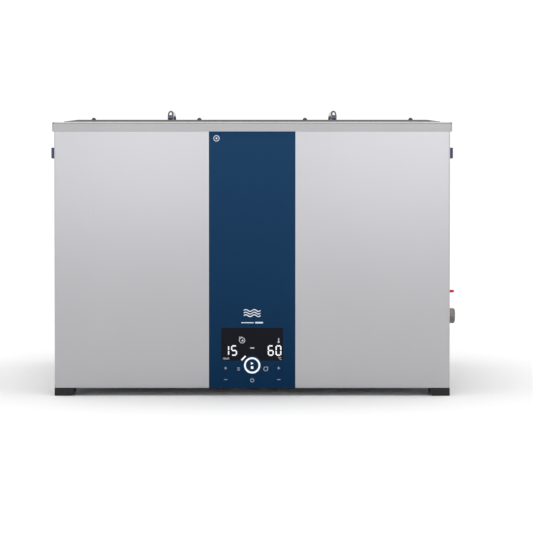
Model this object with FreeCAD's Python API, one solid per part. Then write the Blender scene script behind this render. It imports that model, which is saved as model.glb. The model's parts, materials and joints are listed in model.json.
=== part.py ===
import FreeCAD, Part
import math
import os

# Bench-top ultrasonic cleaner. Millimetres. +X is to the right seen from the front, +Y points to the rear
# and +Z up. The origin lies on the table under the middle of the machine.

V = FreeCAD.Vector
X_AXIS = V(1, 0, 0)
Y_AXIS = V(0, 1, 0)
Z_AXIS = V(0, 0, 1)

# Casing
FOOT_HEIGHT = 12.3
CASE_WIDTH = 641.0
CASE_DEPTH = 551.0
SHEET = 1.2
CASE_TOP = 438.8
FOLD_RADIUS = 1.5
CORNER_RADIUS = 3.0
FLANGE = 12.0
RETURN_FLANGE = 15.0
FLOOR_SHEET = 1.5
CASE_X = CASE_WIDTH / 2
CASE_Y = CASE_DEPTH / 2
INNER_X = CASE_X - SHEET
INNER_Y = CASE_Y - SHEET
FLOOR_BOTTOM = FOOT_HEIGHT + SHEET
FLOOR_TOP = FLOOR_BOTTOM + FLOOR_SHEET

# Tank and its folded rim
TANK_LENGTH = 600.0
TANK_WIDTH = 500.0
TANK_DEPTH = 300.0
TANK_SHEET = 2.0
TANK_CORNER = 22.0
TANK_FLOOR_RADIUS = 8.0
RIM_LENGTH = 646.8
RIM_WIDTH = 560.0
RIM_HEIGHT = 15.0
RIM_TOP = 443.8
RIM_CORNER = 4.0
RIM_EDGE_RADIUS = 2.5
TANK_FLOOR = RIM_TOP - TANK_DEPTH
TANK_UNDERSIDE = TANK_FLOOR - TANK_SHEET
LIP_UNDERSIDE = RIM_TOP - TANK_SHEET
SEAL_WIDTH = 10.0

# Front panel
OVERLAY_WIDTH = 140.0
OVERLAY_THICK = 0.8
OVERLAY_TOP = 428.6
OVERLAY_LOW = FOOT_HEIGHT + 0.2
PANEL_FRONT = -CASE_Y - OVERLAY_THICK
DISPLAY_WIDTH = 100.4
DISPLAY_LOW = 57.3
DISPLAY_HIGH = 110.6
RING_Z = 49.6
RING_OUTER = 13.2
RING_INNER = 10.3
RING_FLANGE = 0.9
RING_FLANGE_THICK = 1.4
SHEET_WINDOW_X = 46.5
SHEET_WINDOW_Z = (66.5, 107.0)
HALO_RADIUS = 15.9
KEY_RADIUS = 6.9
KEY_GAP = 0.25
KEY_EDGE = 0.1
COLLAR_GAP = 0.3
KEY_STEP_GAP = 0.4
START_RADIUS = 10.0
COLLAR_THICK = 0.8
COLLAR_PROUD = 1.3
PLUNGER_RADIUS = 2.0
KEY_SIDE_X = 43.0
KEY_INNER_X = 22.0
KEY_PLUS_Z = 45.2
KEY_MINUS_Z = 26.6
KEY_INNER_Z = 43.8
KEY_POWER_Z = 25.3
BOARD_FRONT = -266.0
BOARD_THICK = 1.6
SWITCH_HEIGHT = 2.4
SWITCH_HALF = 3.0
NUB_HEIGHT = 0.4
NUB_RADIUS = 1.7
PLUNGER_END = BOARD_FRONT - SWITCH_HEIGHT - NUB_HEIGHT - 0.8
CONTROL_BOARD_X = 58.0
CONTROL_BOARD_Z = (17.5, 118.0)
CONTROL_POST_X = 53.0
CONTROL_POSTS_Z = (22.0, 113.5)
CONTROL_POST_RADIUS = 2.8

# Lid
LID_LENGTH = 613.0
LID_WIDTH = 513.0
LID_BEVEL = 20.0
LID_RISE = 4.8
LID_SHEET = 1.5
LID_HEM = 1.6
LID_LAND = 5.0
LID_TOP = RIM_TOP + LID_RISE
PAN_LENGTH = 524.0
PAN_WIDTH = 428.0
PAN_TAPER = 24.0
PAN_FLOOR = 427.8
PAN_CORNER = 18.0
HANDLE_X = 141.5
HANDLE_LEG_Y = 62.5
HANDLE_RADIUS = 5.0
HANDLE_BEND = 20.0
HANDLE_TOP = 469.0
BUMPER_Y = 226.0
BUMPER_PITCH = 173.5
BUMPER_RADIUS = 3.7
BUMPER_HEIGHT = 3.6
BUMPER_STEM = 1.5
BUMPER_BARB = 2.4
BUMPER_STEM_LENGTH = 3.2
BUMPER_BARB_LENGTH = 1.4
STUD_RADIUS = 3.0
STUD_LENGTH = 11.5
LID_NUT_FLATS = 10.0
LID_NUT_HEIGHT = 5.0
LID_WASHER_RADIUS = 7.0
LID_WASHER_THICK = 1.2
PAD_WIDTH = 9.4
PAD_LOW = 455.0
PAD_HIGH = 461.0
PAD_FACE_LOW = 67.8
PAD_FACE_HIGH = 62.6
PAD_BACK = 55.0

# Carrying handles on the sides
GRIP_REACH = 348.4
GRIP_LOW = 385.6
GRIP_HIGH = 404.4
GRIP_HALF_SPAN = 85.0
GRIP_BAR = 4.2
GRIP_LEG = 14.0
GRIP_BOW = 1.5
GRIP_CORNER = 12.0
GRIP_INNER_CORNER = 7.0
GRIP_EDGE_RADIUS = 1.6
GRIP_THREAD_RADIUS = 2.05
GRIP_THREAD_DEPTH = 15.0

# Drain and ball valve, flow along +X
VALVE_Y = -55.5
VALVE_Z = 112.5
VALVE_IN = 312.5
VALVE_OUT = 351.8
VALVE_FLATS = 25.0
STEM_X = 333.0
BALL_RADIUS = 7.5
BALL_BORE = 4.5
RUNNING_GAP = 0.06
OUTLET_RADIUS = 9.3
OUTLET_LENGTH = 10.6
SOCKET_RADIUS = 10.4
CHAMBER_RADIUS = 9.0
RETAINER_IN = 322.5
SEAT_THICK = 3.0
SEAT_BITE = 0.3
WEB_BORE = 5.5
HEX_CHAMFER = 3.0
STEM_RADIUS = 3.6
BOSS_RADIUS = 8.0
BOSS_TOP = VALVE_Z + 22.0
GLAND_FLATS = 17.0
GLAND_TOP = BOSS_TOP + 6.0
TANG_DEPTH = 2.4
TANG_HALF_THICK = 1.95
TANG_HALF_WIDE = 2.8
TANG_GAP = 0.05
LEVER_HUB_Z = 153.9
LEVER_SHEET = 2.0
LEVER_WIDTH = 12.0
LEVER_HUB_REACH = 10.0
LEVER_TIP_Y = -148.0
LEVER_RISE = 6.6
SQUARE = 5.0
LEVER_DISC_RADIUS = 9.0
LEVER_THREAD_RADIUS = 2.375
LEVER_THREAD_LENGTH = 6.0
LEVER_NUT_FLATS = 8.0
LEVER_NUT_HEIGHT = 4.0
GRIP_SLEEVE_WIDTH = 15.6
GRIP_SLEEVE_THICK = 4.4
GRIP_SLEEVE_START = -78.0
GRIP_SLEEVE_END = -152.0
PIPE_RADIUS = 10.65
PIPE_BORE = 8.5
DRAIN_X = 278.0
DRAIN_BEND = 22.0
DRAIN_FLANGE_RADIUS = 13.5
DRAIN_FLANGE_THICK = 1.5
THREAD_GAP = 0.05
WALL_HOLE_RADIUS = 17.0
GASKET_LIP = 2.0
GASKET_BEAD = 1.5

# Transducers under the tank
TRANSDUCER_COLUMNS = 5
TRANSDUCER_ROWS = 4
TRANSDUCER_PITCH_X = 105.0
TRANSDUCER_PITCH_Y = 110.0
FRONT_MASS_TOP_RADIUS = 25.0
STACK_RADIUS = 19.0
FRONT_MASS_HEIGHT = 25.0
PIEZO_THICK = 5.0
PIEZO_BORE = 7.5
BACK_MASS_HEIGHT = 20.0
STACK_BOLT_RADIUS = 5.0
STACK_BOLT_REACH = 14.0
STACK_HEAD_FLATS = 15.0
STACK_HEAD_HEIGHT = 6.0
ELECTRODE_GAP = 0.2

# Heaters and sensors on the tank's walls
HEATER_THICK = 2.0
END_HEATER_Y = 180.0
END_HEATER_Z = (180.0, 330.0)
REAR_HEATER_X = 200.0
REAR_HEATER_Z = (220.0, 330.0)
SENSOR_X = -100.0
SENSOR_Z = (172.0, 196.0)
SENSOR_HALF_WIDTH = 12.0
PROBE_RADIUS = 3.0
PROBE_LENGTH = 32.0
THERMOSTAT_X = 100.0
THERMOSTAT_Z = 190.0

# Generator electronics on the floor of the casing
BOARD_Z = 23.0
GENERATOR_X = (-150.0, 90.0)
GENERATOR_Y = (-100.0, 120.0)
STANDOFF_FLATS = 7.0
STANDOFF_INSET = 8.0
SINK_X = -140.0
SINK_Y = (-85.0, 100.0)
SINK_BASE = 6.0
SINK_HEIGHT = 34.0
SINK_FINS = 10
FIN_PITCH = 8.0
FIN_THICK = 2.0
CORE_X = (-48.0, 4.0)
CORE_Y = (-40.0, 12.0)
CORE_YOKE = 14.0
CORE_WINDOW = 16.0
CORE_LEG = 10.0
WINDING_RADIUS = 15.0
CAN_RADIUS = 12.5
CAN_HEIGHT = 42.0
CAN_EDGE = 1.5
CAN_PLACES = ((30.0, -30.0), (60.0, -30.0), (30.0, 5.0), (60.0, 5.0))
FILM_CAP_X = (-48.0, -12.0)
FILM_CAP_ROWS = (40.0, 62.0)
FILM_CAP_THICK = 14.0
FILM_CAP_HEIGHT = 22.0

# Rear panel fittings
FAN_X = -180.0
FAN_Z = 75.0
FAN_SIZE = 80.0
FAN_DEPTH = 25.0
FAN_OPENING = 37.5
FAN_HOLE = 35.75
FAN_HUB = 15.0
FAN_BLADES = 7
FAN_CORNER = 4.0
FAN_STRUT = 3.0
FAN_STRUT_HALF = 2.0
FAN_PIN = 1.5
FAN_PIN_LENGTH = 15.0
FAN_HUB_DEPTH = 18.0
FAN_HUB_GAP = 3.6
FAN_HUB_EDGE = 1.2
BLADE_PITCH = 52.0
BLADE_THICK = 2.0
BLADE_CHORD = 26.0
BLADE_TIP_GAP = 1.2
GUARD_WIRE = 0.9
GUARD_RINGS = (9.0, 17.0, 25.0, 33.0)
GUARD_EYE_RADIUS = 4.2
GUARD_EYE_THICK = 1.4
VENT_COLUMNS = 3
VENT_ROWS = 7
VENT_X = -60.0
VENT_Z = 40.0
VENT_PITCH_X = 62.0
VENT_PITCH_Z = 11.0
VENT_LENGTH = 50.0
VENT_HEIGHT = 4.0
REAR_INNER = CASE_Y - SHEET
INLET_X = 200.0
INLET_SOCKET_Z = 68.0
INLET_FUSE_Z = 90.0
INLET_FLANGE = 2.0
INLET_BODY_DEPTH = 26.0
INLET_HALF = 14.3
INLET_LOW = 54.3
INLET_HIGH = 98.7
INLET_FLANGE_HALF = 25.0
INLET_FLANGE_PROUD = 1.8
INLET_CORNER = 3.0
INLET_GAP = 0.3
INLET_SCREW_X = 20.0
SOCKET_DEPTH = 17.0
SOCKET_HALF_X = 12.2
SOCKET_HALF_Z = 8.2
SOCKET_CUT = 4.6
BLADE_SIZE = (2.0, 4.0)
BLADE_SPACING = 7.0
BLADE_SETBACK = 5.0
DRAWER_HALF_X = 11.0
DRAWER_HALF_Z = 4.4
DRAWER_DEPTH = 20.0
DRAWER_GAP = 0.4
DRAWER_PROUD = 0.6
FUSE_WELL_X = 5.2
FUSE_WELL_HALF = 3.2
SCREW_X = 312.0
SCREW_HEIGHTS = (30.0, 160.0, 290.0, 420.0)
M4_HOLE = 2.1
M3_HOLE = 1.6
M5_HOLE = 2.6

# Vents in the floor
FLOOR_GAP = 0.3
FLOOR_VENTS_X = (-225.0, 185.0)
FLOOR_VENT_ROWS = 8
FLOOR_VENT_Y = -120.0
FLOOR_VENT_PITCH = 30.0
FLOOR_VENT_HALF_X = 30.0
FLOOR_VENT_HALF_Y = 2.5

# Feet
FOOT_WIDTH = 31.0
FOOT_LENGTH = 45.0
FOOT_CHAMFER = 3.2
FOOT_SCREW_INSET_X = 20.0
FOOT_SCREW_INSET_Y = 24.0
FOOT_EDGE = 0.8
FOOT_SINK_RADIUS = 5.5
FOOT_SINK_DEPTH = 6.0


# ---------------------------------------------------------------- basic shapes

def box(x0, x1, y0, y1, z0, z1):
    return Part.makeBox(x1 - x0, y1 - y0, z1 - z0, V(x0, y0, z0))


def rod(radius, start, axis, length):
    return Part.makeCylinder(radius, length, V(*start), axis)


def pipe(outer, inner, start, axis, length):
    return rod(outer, start, axis, length).cut(rod(inner, start, axis, length))


def rounded_outline(length, width, radius, z):
    """A rectangle with round corners in the plane at height z."""
    hx = length / 2
    hy = width / 2
    diagonal = radius * (1 - math.sqrt(0.5))
    edges = []
    for sx, sy, along_x in ((1, -1, False), (1, 1, True), (-1, 1, False), (-1, -1, True)):
        on_side = V(sx * hx, sy * (hy - radius), z)
        on_end = V(sx * (hx - radius), sy * hy, z)
        middle = V(sx * (hx - diagonal), sy * (hy - diagonal), z)
        first = on_end if not along_x else on_side
        last = on_side if not along_x else on_end
        edges.append(Part.Arc(first, middle, last).toShape())
    joined = []
    for i, arc in enumerate(edges):
        following = edges[(i + 1) % 4]
        joined.append(arc)
        joined.append(Part.makeLine(arc.Vertexes[1].Point, following.Vertexes[0].Point))
    return Part.Wire(joined)


def rounded_block(length, width, radius, z0, z1, at=(0.0, 0.0)):
    outline = rounded_outline(length, width, radius, z0)
    block = Part.Face(outline).extrude(V(0, 0, z1 - z0))
    block.translate(V(at[0], at[1], 0))
    return block


def rounded_loft(low, high):
    """A closed solid between two rounded outlines, each given as (length, width, radius, z)."""
    return Part.makeLoft([rounded_outline(*low), rounded_outline(*high)], True, True)


def hexagon(flats, start, axis, length, flat_towards):
    """A hexagonal bar along axis, with one pair of flats facing flat_towards."""
    corner = flats / math.sqrt(3)
    sideways = axis.cross(flat_towards)
    points = []
    for i in range(7):
        angle = math.radians(60 * i)
        across = sideways * (corner * math.cos(angle))
        along = flat_towards * (corner * math.sin(angle))
        points.append(V(*start) + across + along)
    return Part.Face(Part.makePolygon(points)).extrude(axis * length)


def polygon_bar(points, extrude):
    closed = [V(*p) for p in points] + [V(*points[0])]
    return Part.Face(Part.makePolygon(closed)).extrude(extrude)


def fuse_all(shapes):
    return shapes[0].multiFuse(shapes[1:]).removeSplitter()


def group(shapes):
    return Part.makeCompound(shapes)


def mirrored_x(shape):
    return shape.mirror(V(0, 0, 0), X_AXIS)


def mirrored_y(shape):
    return shape.mirror(V(0, 0, 0), Y_AXIS)


def edges_at_height(shape, z, tolerance=0.01):
    found = []
    for edge in shape.Edges:
        if abs(edge.BoundBox.ZMin - z) < tolerance and abs(edge.BoundBox.ZMax - z) < tolerance:
            found.append(edge)
    return found


def screw(seat, direction, head_radius, head_height, shank_radius, shank_length):
    """A pan-head screw whose shank runs from seat along direction."""
    start = V(*seat)
    shank = Part.makeCylinder(shank_radius, shank_length, start, direction)
    head = Part.makeCylinder(head_radius, head_height, start, direction * -1)
    crown = []
    for edge in head.Edges:
        middle = edge.BoundBox.Center
        if (middle - start).dot(direction) < -head_height + 0.01 and len(edge.Vertexes) == 1:
            crown.append(edge)
    head = head.makeFillet(head_height * 0.45, crown)
    recess_start = start - direction * head_height
    recess = hexagon(head_radius * 0.9, recess_start, direction, head_height * 0.6, side_of(direction))
    return head.fuse(shank).removeSplitter().cut(recess)


def side_of(direction):
    """A unit vector square to direction."""
    return Z_AXIS if abs(direction.z) < 0.5 else X_AXIS


# ---------------------------------------------------------------- casing

def outer_housing():
    """Front and both sides folded from one sheet, open at the rear."""
    shell = rounded_block(CASE_WIDTH, CASE_DEPTH, CORNER_RADIUS, FOOT_HEIGHT, CASE_TOP)
    folds = edges_at_height(shell, FOOT_HEIGHT) + edges_at_height(shell, CASE_TOP)
    shell = shell.makeFillet(FOLD_RADIUS, folds)
    hollow = rounded_block(2 * INNER_X, 2 * INNER_Y, CORNER_RADIUS - SHEET, FLOOR_BOTTOM, CASE_TOP - SHEET)
    mouth_x = 2 * (CASE_X - FLANGE)
    mouth_y = 2 * (CASE_Y - FLANGE)
    mouths = rounded_block(mouth_x, mouth_y, CORNER_RADIUS, 0, CASE_TOP + 1)
    rear_gap = box(-CASE_X - 1, CASE_X + 1, REAR_INNER, CASE_Y + 1, 0, CASE_TOP + 1)
    return_x = INNER_X - RETURN_FLANGE
    rear_middle = box(-return_x, return_x, CASE_Y - FLANGE - 1, CASE_Y + 1, 0, CASE_TOP + 1)
    shell = shell.cut(hollow).cut(mouths).cut(rear_gap).cut(rear_middle)
    lips = []
    for side in (-1, 1):
        near = sorted((side * return_x, side * INNER_X))
        lips.append(box(near[0], near[1], REAR_INNER - SHEET, REAR_INNER, FLOOR_BOTTOM, CASE_TOP - SHEET))
    shell = fuse_all([shell] + lips)
    return shell.cut(group(housing_openings()))


def housing_openings():
    front = -CASE_Y - 1
    depth = SHEET + 2
    low, high = SHEET_WINDOW_Z
    openings = [box(-SHEET_WINDOW_X, SHEET_WINDOW_X, front, front + depth, low, high)]
    openings.append(rod(RING_OUTER + 0.1, (0, front, RING_Z), Y_AXIS, depth))
    for x, z in key_places().values():
        openings.append(rod(KEY_RADIUS + KEY_STEP_GAP, (x, front, z), Y_AXIS, depth))
    openings.append(rod(WALL_HOLE_RADIUS, (INNER_X - 1, VALVE_Y, VALVE_Z), X_AXIS, depth))
    for side in (-1, 1):
        for y in handle_screw_places():
            start = (side * (INNER_X - 1), y, grip_middle_z())
            openings.append(rod(M5_HOLE, start, X_AXIS * side, depth))
        for z in SCREW_HEIGHTS:
            openings.append(rod(M4_HOLE, (side * SCREW_X, REAR_INNER - 2 * SHEET, z), Y_AXIS, depth))
    return openings


def rear_panel():
    """The screwed-on back, with a folded edge at its top and bottom."""
    sheet = box(-CASE_X, CASE_X, REAR_INNER, CASE_Y, FOOT_HEIGHT, CASE_TOP)
    upright = [e for e in sheet.Edges if e.BoundBox.ZLength > 1 and e.BoundBox.YMax > CASE_Y - 0.1]
    outer_edges = [e for e in upright if abs(e.BoundBox.YMin - CASE_Y) < 0.1]
    sheet = sheet.makeFillet(SHEET * 0.8, outer_edges)
    edge_x = INNER_X - RETURN_FLANGE - 0.5
    flanges = []
    for z in (FOOT_HEIGHT, CASE_TOP - SHEET):
        flanges.append(box(-edge_x, edge_x, CASE_Y - FLANGE, REAR_INNER, z, z + SHEET))
    panel = fuse_all([sheet] + flanges)
    through = CASE_Y - 2 * SHEET
    holes = [rod(FAN_OPENING, (FAN_X, through, FAN_Z), Y_AXIS, 3 * SHEET)]
    for dx, dz in fan_corners():
        holes.append(rod(M4_HOLE, (FAN_X + dx, through, FAN_Z + dz), Y_AXIS, 3 * SHEET))
    for x in (-SCREW_X, SCREW_X):
        for z in SCREW_HEIGHTS:
            holes.append(rod(M4_HOLE, (x, through, z), Y_AXIS, 3 * SHEET))
    reach = INLET_HALF + INLET_GAP
    low, high = INLET_LOW - INLET_GAP, INLET_HIGH + INLET_GAP
    holes.append(box(INLET_X - reach, INLET_X + reach, through, CASE_Y + 1, low, high))
    for x in inlet_screw_places():
        holes.append(rod(M3_HOLE, (x, through, inlet_middle_z()), Y_AXIS, 3 * SHEET))
    for column in range(VENT_COLUMNS):
        for row in range(VENT_ROWS):
            x = VENT_X + VENT_PITCH_X * column
            z = VENT_Z + VENT_PITCH_Z * row
            holes.append(slot(x, z, VENT_LENGTH, VENT_HEIGHT, through, 3 * SHEET))
    return panel.cut(group(holes))


def slot(x, z, length, height, y, depth):
    """A round-ended vent slot through a wall that faces along Y."""
    half = (length - height) / 2
    middle = box(x - half, x + half, y, y + depth, z - height / 2, z + height / 2)
    ends = [rod(height / 2, (x + s * half, y, z), Y_AXIS, depth) for s in (-1, 1)]
    return fuse_all([middle] + ends)


def bottom_plate():
    side = INNER_X - FLOOR_GAP
    front = -INNER_Y + FLOOR_GAP
    rear = REAR_INNER - SHEET - FLOOR_GAP
    plate = box(-side, side, front, rear, FLOOR_BOTTOM, FLOOR_TOP)
    corners = [e for e in plate.Edges if e.BoundBox.ZLength > 1]
    plate = plate.makeFillet(CORNER_RADIUS, corners)
    holes = []
    for x, y in foot_screw_places():
        holes.append(rod(M5_HOLE, (x, y, FLOOR_BOTTOM - 1), Z_AXIS, FLOOR_SHEET + 2))
    for row in range(FLOOR_VENT_ROWS):
        for x in FLOOR_VENTS_X:
            y = FLOOR_VENT_Y + FLOOR_VENT_PITCH * row
            xs = (x - FLOOR_VENT_HALF_X, x + FLOOR_VENT_HALF_X)
            ys = (y - FLOOR_VENT_HALF_Y, y + FLOOR_VENT_HALF_Y)
            holes.append(box(*xs, *ys, FLOOR_BOTTOM - 1, FLOOR_TOP + 1))
    return plate.cut(group(holes))


def rim_seal():
    """Soft frame between the top of the casing and the underside of the rim."""
    outer = rounded_block(2 * INNER_X, 2 * INNER_Y, CORNER_RADIUS, CASE_TOP, LIP_UNDERSIDE)
    inner_x = 2 * (INNER_X - SEAL_WIDTH)
    inner_y = 2 * (INNER_Y - SEAL_WIDTH)
    return outer.cut(rounded_block(inner_x, inner_y, CORNER_RADIUS, CASE_TOP, LIP_UNDERSIDE))


def foot(sign_x, sign_y):
    """Rubber foot, flush with two sides of the casing, chamfered on its inner edges."""
    inner_x = CASE_X - FOOT_WIDTH
    inner_y = CASE_Y - FOOT_LENGTH
    block = box(inner_x, CASE_X, inner_y, CASE_Y, 0, FOOT_HEIGHT)
    low_inner = []
    for edge in block.Edges:
        bounds = edge.BoundBox
        inner = bounds.XMax < inner_x + 1 or bounds.YMax < inner_y + 1
        if bounds.ZMax < 1 and inner:
            low_inner.append(edge)
    block = block.makeChamfer(FOOT_CHAMFER, low_inner)
    block = block.makeFillet(FOOT_EDGE, [e for e in block.Edges if is_low_outer(e)])
    x = CASE_X - FOOT_SCREW_INSET_X
    y = CASE_Y - FOOT_SCREW_INSET_Y
    block = block.cut(rod(FOOT_SINK_RADIUS, (x, y, -1), Z_AXIS, FOOT_SINK_DEPTH + 1))
    block = block.cut(rod(M5_HOLE, (x, y, 0), Z_AXIS, FOOT_HEIGHT + 1))
    if sign_x < 0:
        block = mirrored_x(block)
    if sign_y < 0:
        block = mirrored_y(block)
    return block


def is_low_outer(edge):
    bounds = edge.BoundBox
    level = bounds.ZMax < 0.01
    along_x = abs(bounds.YMin - CASE_Y) < 0.01 and abs(bounds.YMax - CASE_Y) < 0.01
    along_y = abs(bounds.XMin - CASE_X) < 0.01 and abs(bounds.XMax - CASE_X) < 0.01
    return level and (along_x or along_y)


def foot_screw_places():
    x = CASE_X - FOOT_SCREW_INSET_X
    y = CASE_Y - FOOT_SCREW_INSET_Y
    return [(sx * x, sy * y) for sx in (-1, 1) for sy in (-1, 1)]


# ---------------------------------------------------------------- tank

def tank():
    """Drawn stainless tank with a flat lip and a folded skirt."""
    rim = rounded_block(RIM_LENGTH, RIM_WIDTH, RIM_CORNER, RIM_TOP - RIM_HEIGHT, RIM_TOP)
    rim = rim.makeFillet(RIM_EDGE_RADIUS, edges_at_height(rim, RIM_TOP))
    under_rim = rounded_block(
        RIM_LENGTH - 2 * TANK_SHEET,
        RIM_WIDTH - 2 * TANK_SHEET,
        RIM_CORNER - TANK_SHEET,
        RIM_TOP - RIM_HEIGHT - 1,
        LIP_UNDERSIDE,
    )
    rim = rim.cut(under_rim)
    outer_length = TANK_LENGTH + 2 * TANK_SHEET
    outer_width = TANK_WIDTH + 2 * TANK_SHEET
    outer_corner = TANK_CORNER + TANK_SHEET
    pot = rounded_block(outer_length, outer_width, outer_corner, TANK_UNDERSIDE, LIP_UNDERSIDE + 1)
    pot = pot.makeFillet(TANK_FLOOR_RADIUS + TANK_SHEET, edges_at_height(pot, TANK_UNDERSIDE))
    hollow = rounded_block(TANK_LENGTH, TANK_WIDTH, TANK_CORNER, TANK_FLOOR, RIM_TOP + 1)
    hollow = hollow.makeFillet(TANK_FLOOR_RADIUS, edges_at_height(hollow, TANK_FLOOR))
    body = fuse_all([rim, pot]).cut(hollow)
    mouth = [e for e in edges_at_height(body, RIM_TOP) if within_mouth(e)]
    body = body.makeFillet(TANK_SHEET * 0.8, mouth)
    drain = rod(PIPE_BORE, (DRAIN_X, VALVE_Y, TANK_UNDERSIDE - 1), Z_AXIS, TANK_SHEET + 2)
    return body.cut(drain)


def within_mouth(edge):
    bounds = edge.BoundBox
    reach_x = max(abs(bounds.XMin), abs(bounds.XMax))
    reach_y = max(abs(bounds.YMin), abs(bounds.YMax))
    return reach_x < TANK_LENGTH / 2 + 0.1 and reach_y < TANK_WIDTH / 2 + 0.1


# ---------------------------------------------------------------- front panel

def key_places():
    """Centres of the seven small keys on the front, as (x, z)."""
    return {
        "button_time_plus": (-KEY_SIDE_X, KEY_PLUS_Z),
        "button_time_minus": (-KEY_SIDE_X, KEY_MINUS_Z),
        "button_temp_plus": (KEY_SIDE_X, KEY_PLUS_Z),
        "button_temp_minus": (KEY_SIDE_X, KEY_MINUS_Z),
        "button_menu": (-KEY_INNER_X, KEY_INNER_Z),
        "button_mode": (KEY_INNER_X, KEY_INNER_Z),
        "button_power": (0.0, KEY_POWER_Z),
    }


def display_block(front, rear):
    """The window's outline, with a round bite out of its lower edge for the ring."""
    pane = box(-DISPLAY_WIDTH / 2, DISPLAY_WIDTH / 2, front, rear, DISPLAY_LOW, DISPLAY_HIGH)
    return pane.cut(rod(HALO_RADIUS, (0, front - 1, RING_Z), Y_AXIS, rear - front + 2))


def front_overlay():
    """Thin panel film with openings for the window, the ring and the keys."""
    half = OVERLAY_WIDTH / 2
    film = box(-half, half, PANEL_FRONT, -CASE_Y, OVERLAY_LOW, OVERLAY_TOP)
    front_edges = [e for e in film.Edges if e.BoundBox.YMax < PANEL_FRONT + 0.01]
    film = film.makeFillet(OVERLAY_THICK / 2, front_edges)
    openings = [display_block(PANEL_FRONT - 1, -CASE_Y + 1)]
    openings.append(rod(RING_OUTER, (0, PANEL_FRONT - 1, RING_Z), Y_AXIS, OVERLAY_THICK + 2))
    for x, z in key_places().values():
        openings.append(rod(KEY_RADIUS + KEY_GAP, (x, PANEL_FRONT - 1, z), Y_AXIS, OVERLAY_THICK + 2))
    return film.cut(group(openings))


def display_window():
    return display_block(PANEL_FRONT, -CASE_Y)


def ring_light():
    """Light guide round the start key, with a flange behind the sheet."""
    inner_face = -INNER_Y
    rear = inner_face + RING_FLANGE_THICK
    front_part = pipe(RING_OUTER, RING_INNER, (0, PANEL_FRONT, RING_Z), Y_AXIS, inner_face - PANEL_FRONT)
    flange = pipe(RING_OUTER + RING_FLANGE, RING_INNER, (0, inner_face, RING_Z), Y_AXIS, rear - inner_face)
    return fuse_all([front_part, flange])


def key(x, z, radius, collar_front):
    """A key cap with a collar behind the sheet and a plunger towards its switch."""
    cap = rod(radius, (x, PANEL_FRONT, z), Y_AXIS, collar_front + COLLAR_THICK - PANEL_FRONT)
    face = [e for e in cap.Edges if e.BoundBox.YMax < PANEL_FRONT + 0.01]
    cap = cap.makeFillet(KEY_EDGE, face)
    collar = rod(radius + COLLAR_PROUD, (x, collar_front, z), Y_AXIS, COLLAR_THICK)
    plunger_start = collar_front + COLLAR_THICK
    plunger = rod(PLUNGER_RADIUS, (x, plunger_start, z), Y_AXIS, PLUNGER_END - plunger_start)
    return fuse_all([cap, collar, plunger])


def small_key(x, z):
    return key(x, z, KEY_RADIUS, -INNER_Y + COLLAR_GAP)


def start_key():
    return key(0.0, RING_Z, START_RADIUS, -INNER_Y + RING_FLANGE_THICK + COLLAR_GAP)


def control_board():
    low, high = CONTROL_BOARD_Z
    rear = BOARD_FRONT + BOARD_THICK
    board = box(-CONTROL_BOARD_X, CONTROL_BOARD_X, BOARD_FRONT, rear, low, high)
    chip = box(-12, 12, rear, rear + 2.2, 78, 98)
    plug = box(20, 46, rear, rear + 7, 100, 108)
    return fuse_all([board, chip, plug])


def display_module():
    low, high = SHEET_WINDOW_Z
    half = SHEET_WINDOW_X - 1
    return box(-half, half, -INNER_Y + COLLAR_GAP, BOARD_FRONT, low + 1, high - 1)


def key_switches():
    switches = []
    places = list(key_places().values()) + [(0.0, RING_Z)]
    for x, z in places:
        front = BOARD_FRONT - SWITCH_HEIGHT
        half = SWITCH_HALF
        body = box(x - half, x + half, front, BOARD_FRONT, z - half, z + half)
        nub = rod(NUB_RADIUS, (x, front - NUB_HEIGHT, z), Y_AXIS, NUB_HEIGHT)
        switches.append(fuse_all([body, nub]))
    return group(switches)


# ---------------------------------------------------------------- lid

def lid_pan():
    """Folded lid: hemmed and bevelled border, flat ring and a sunken pan that leaves room for the fingers."""
    hem_top = RIM_TOP + LID_HEM
    hem = rounded_block(LID_LENGTH, LID_WIDTH, 5.0, RIM_TOP, hem_top)
    outside = rounded_loft(
        (LID_LENGTH, LID_WIDTH, 5.0, hem_top),
        (LID_LENGTH - 2 * LID_BEVEL, LID_WIDTH - 2 * LID_BEVEL, 3.0, LID_TOP),
    )
    outside = fuse_all([hem, outside])
    inside = rounded_loft(
        (LID_LENGTH - 2 * LID_LAND, LID_WIDTH - 2 * LID_LAND, 4.0, RIM_TOP),
        (LID_LENGTH - 2 * LID_BEVEL, LID_WIDTH - 2 * LID_BEVEL, 3.0, LID_TOP - LID_SHEET),
    )
    cover = outside.cut(inside)
    wide = 2 * LID_SHEET
    pan = rounded_loft(
        (PAN_LENGTH - PAN_TAPER + wide, PAN_WIDTH - PAN_TAPER + wide, PAN_CORNER, PAN_FLOOR - LID_SHEET),
        (PAN_LENGTH + wide, PAN_WIDTH + wide, PAN_CORNER + LID_SHEET, LID_TOP - LID_SHEET / 2),
    )
    pan_hollow = rounded_loft(
        (PAN_LENGTH - PAN_TAPER, PAN_WIDTH - PAN_TAPER, PAN_CORNER - LID_SHEET, PAN_FLOOR),
        (PAN_LENGTH, PAN_WIDTH, PAN_CORNER, LID_TOP),
    )
    lid = fuse_all([cover, pan]).cut(pan_hollow)
    holes = []
    for x in (-HANDLE_X, HANDLE_X):
        for y in (-HANDLE_LEG_Y, HANDLE_LEG_Y):
            holes.append(rod(STUD_RADIUS + 0.1, (x, y, PAN_FLOOR - 5), Z_AXIS, 10))
    for x, y in bumper_places():
        holes.append(rod(BUMPER_STEM + 0.1, (x, y, LID_TOP - 5), Z_AXIS, 10))
    return lid.cut(group(holes))


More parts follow.
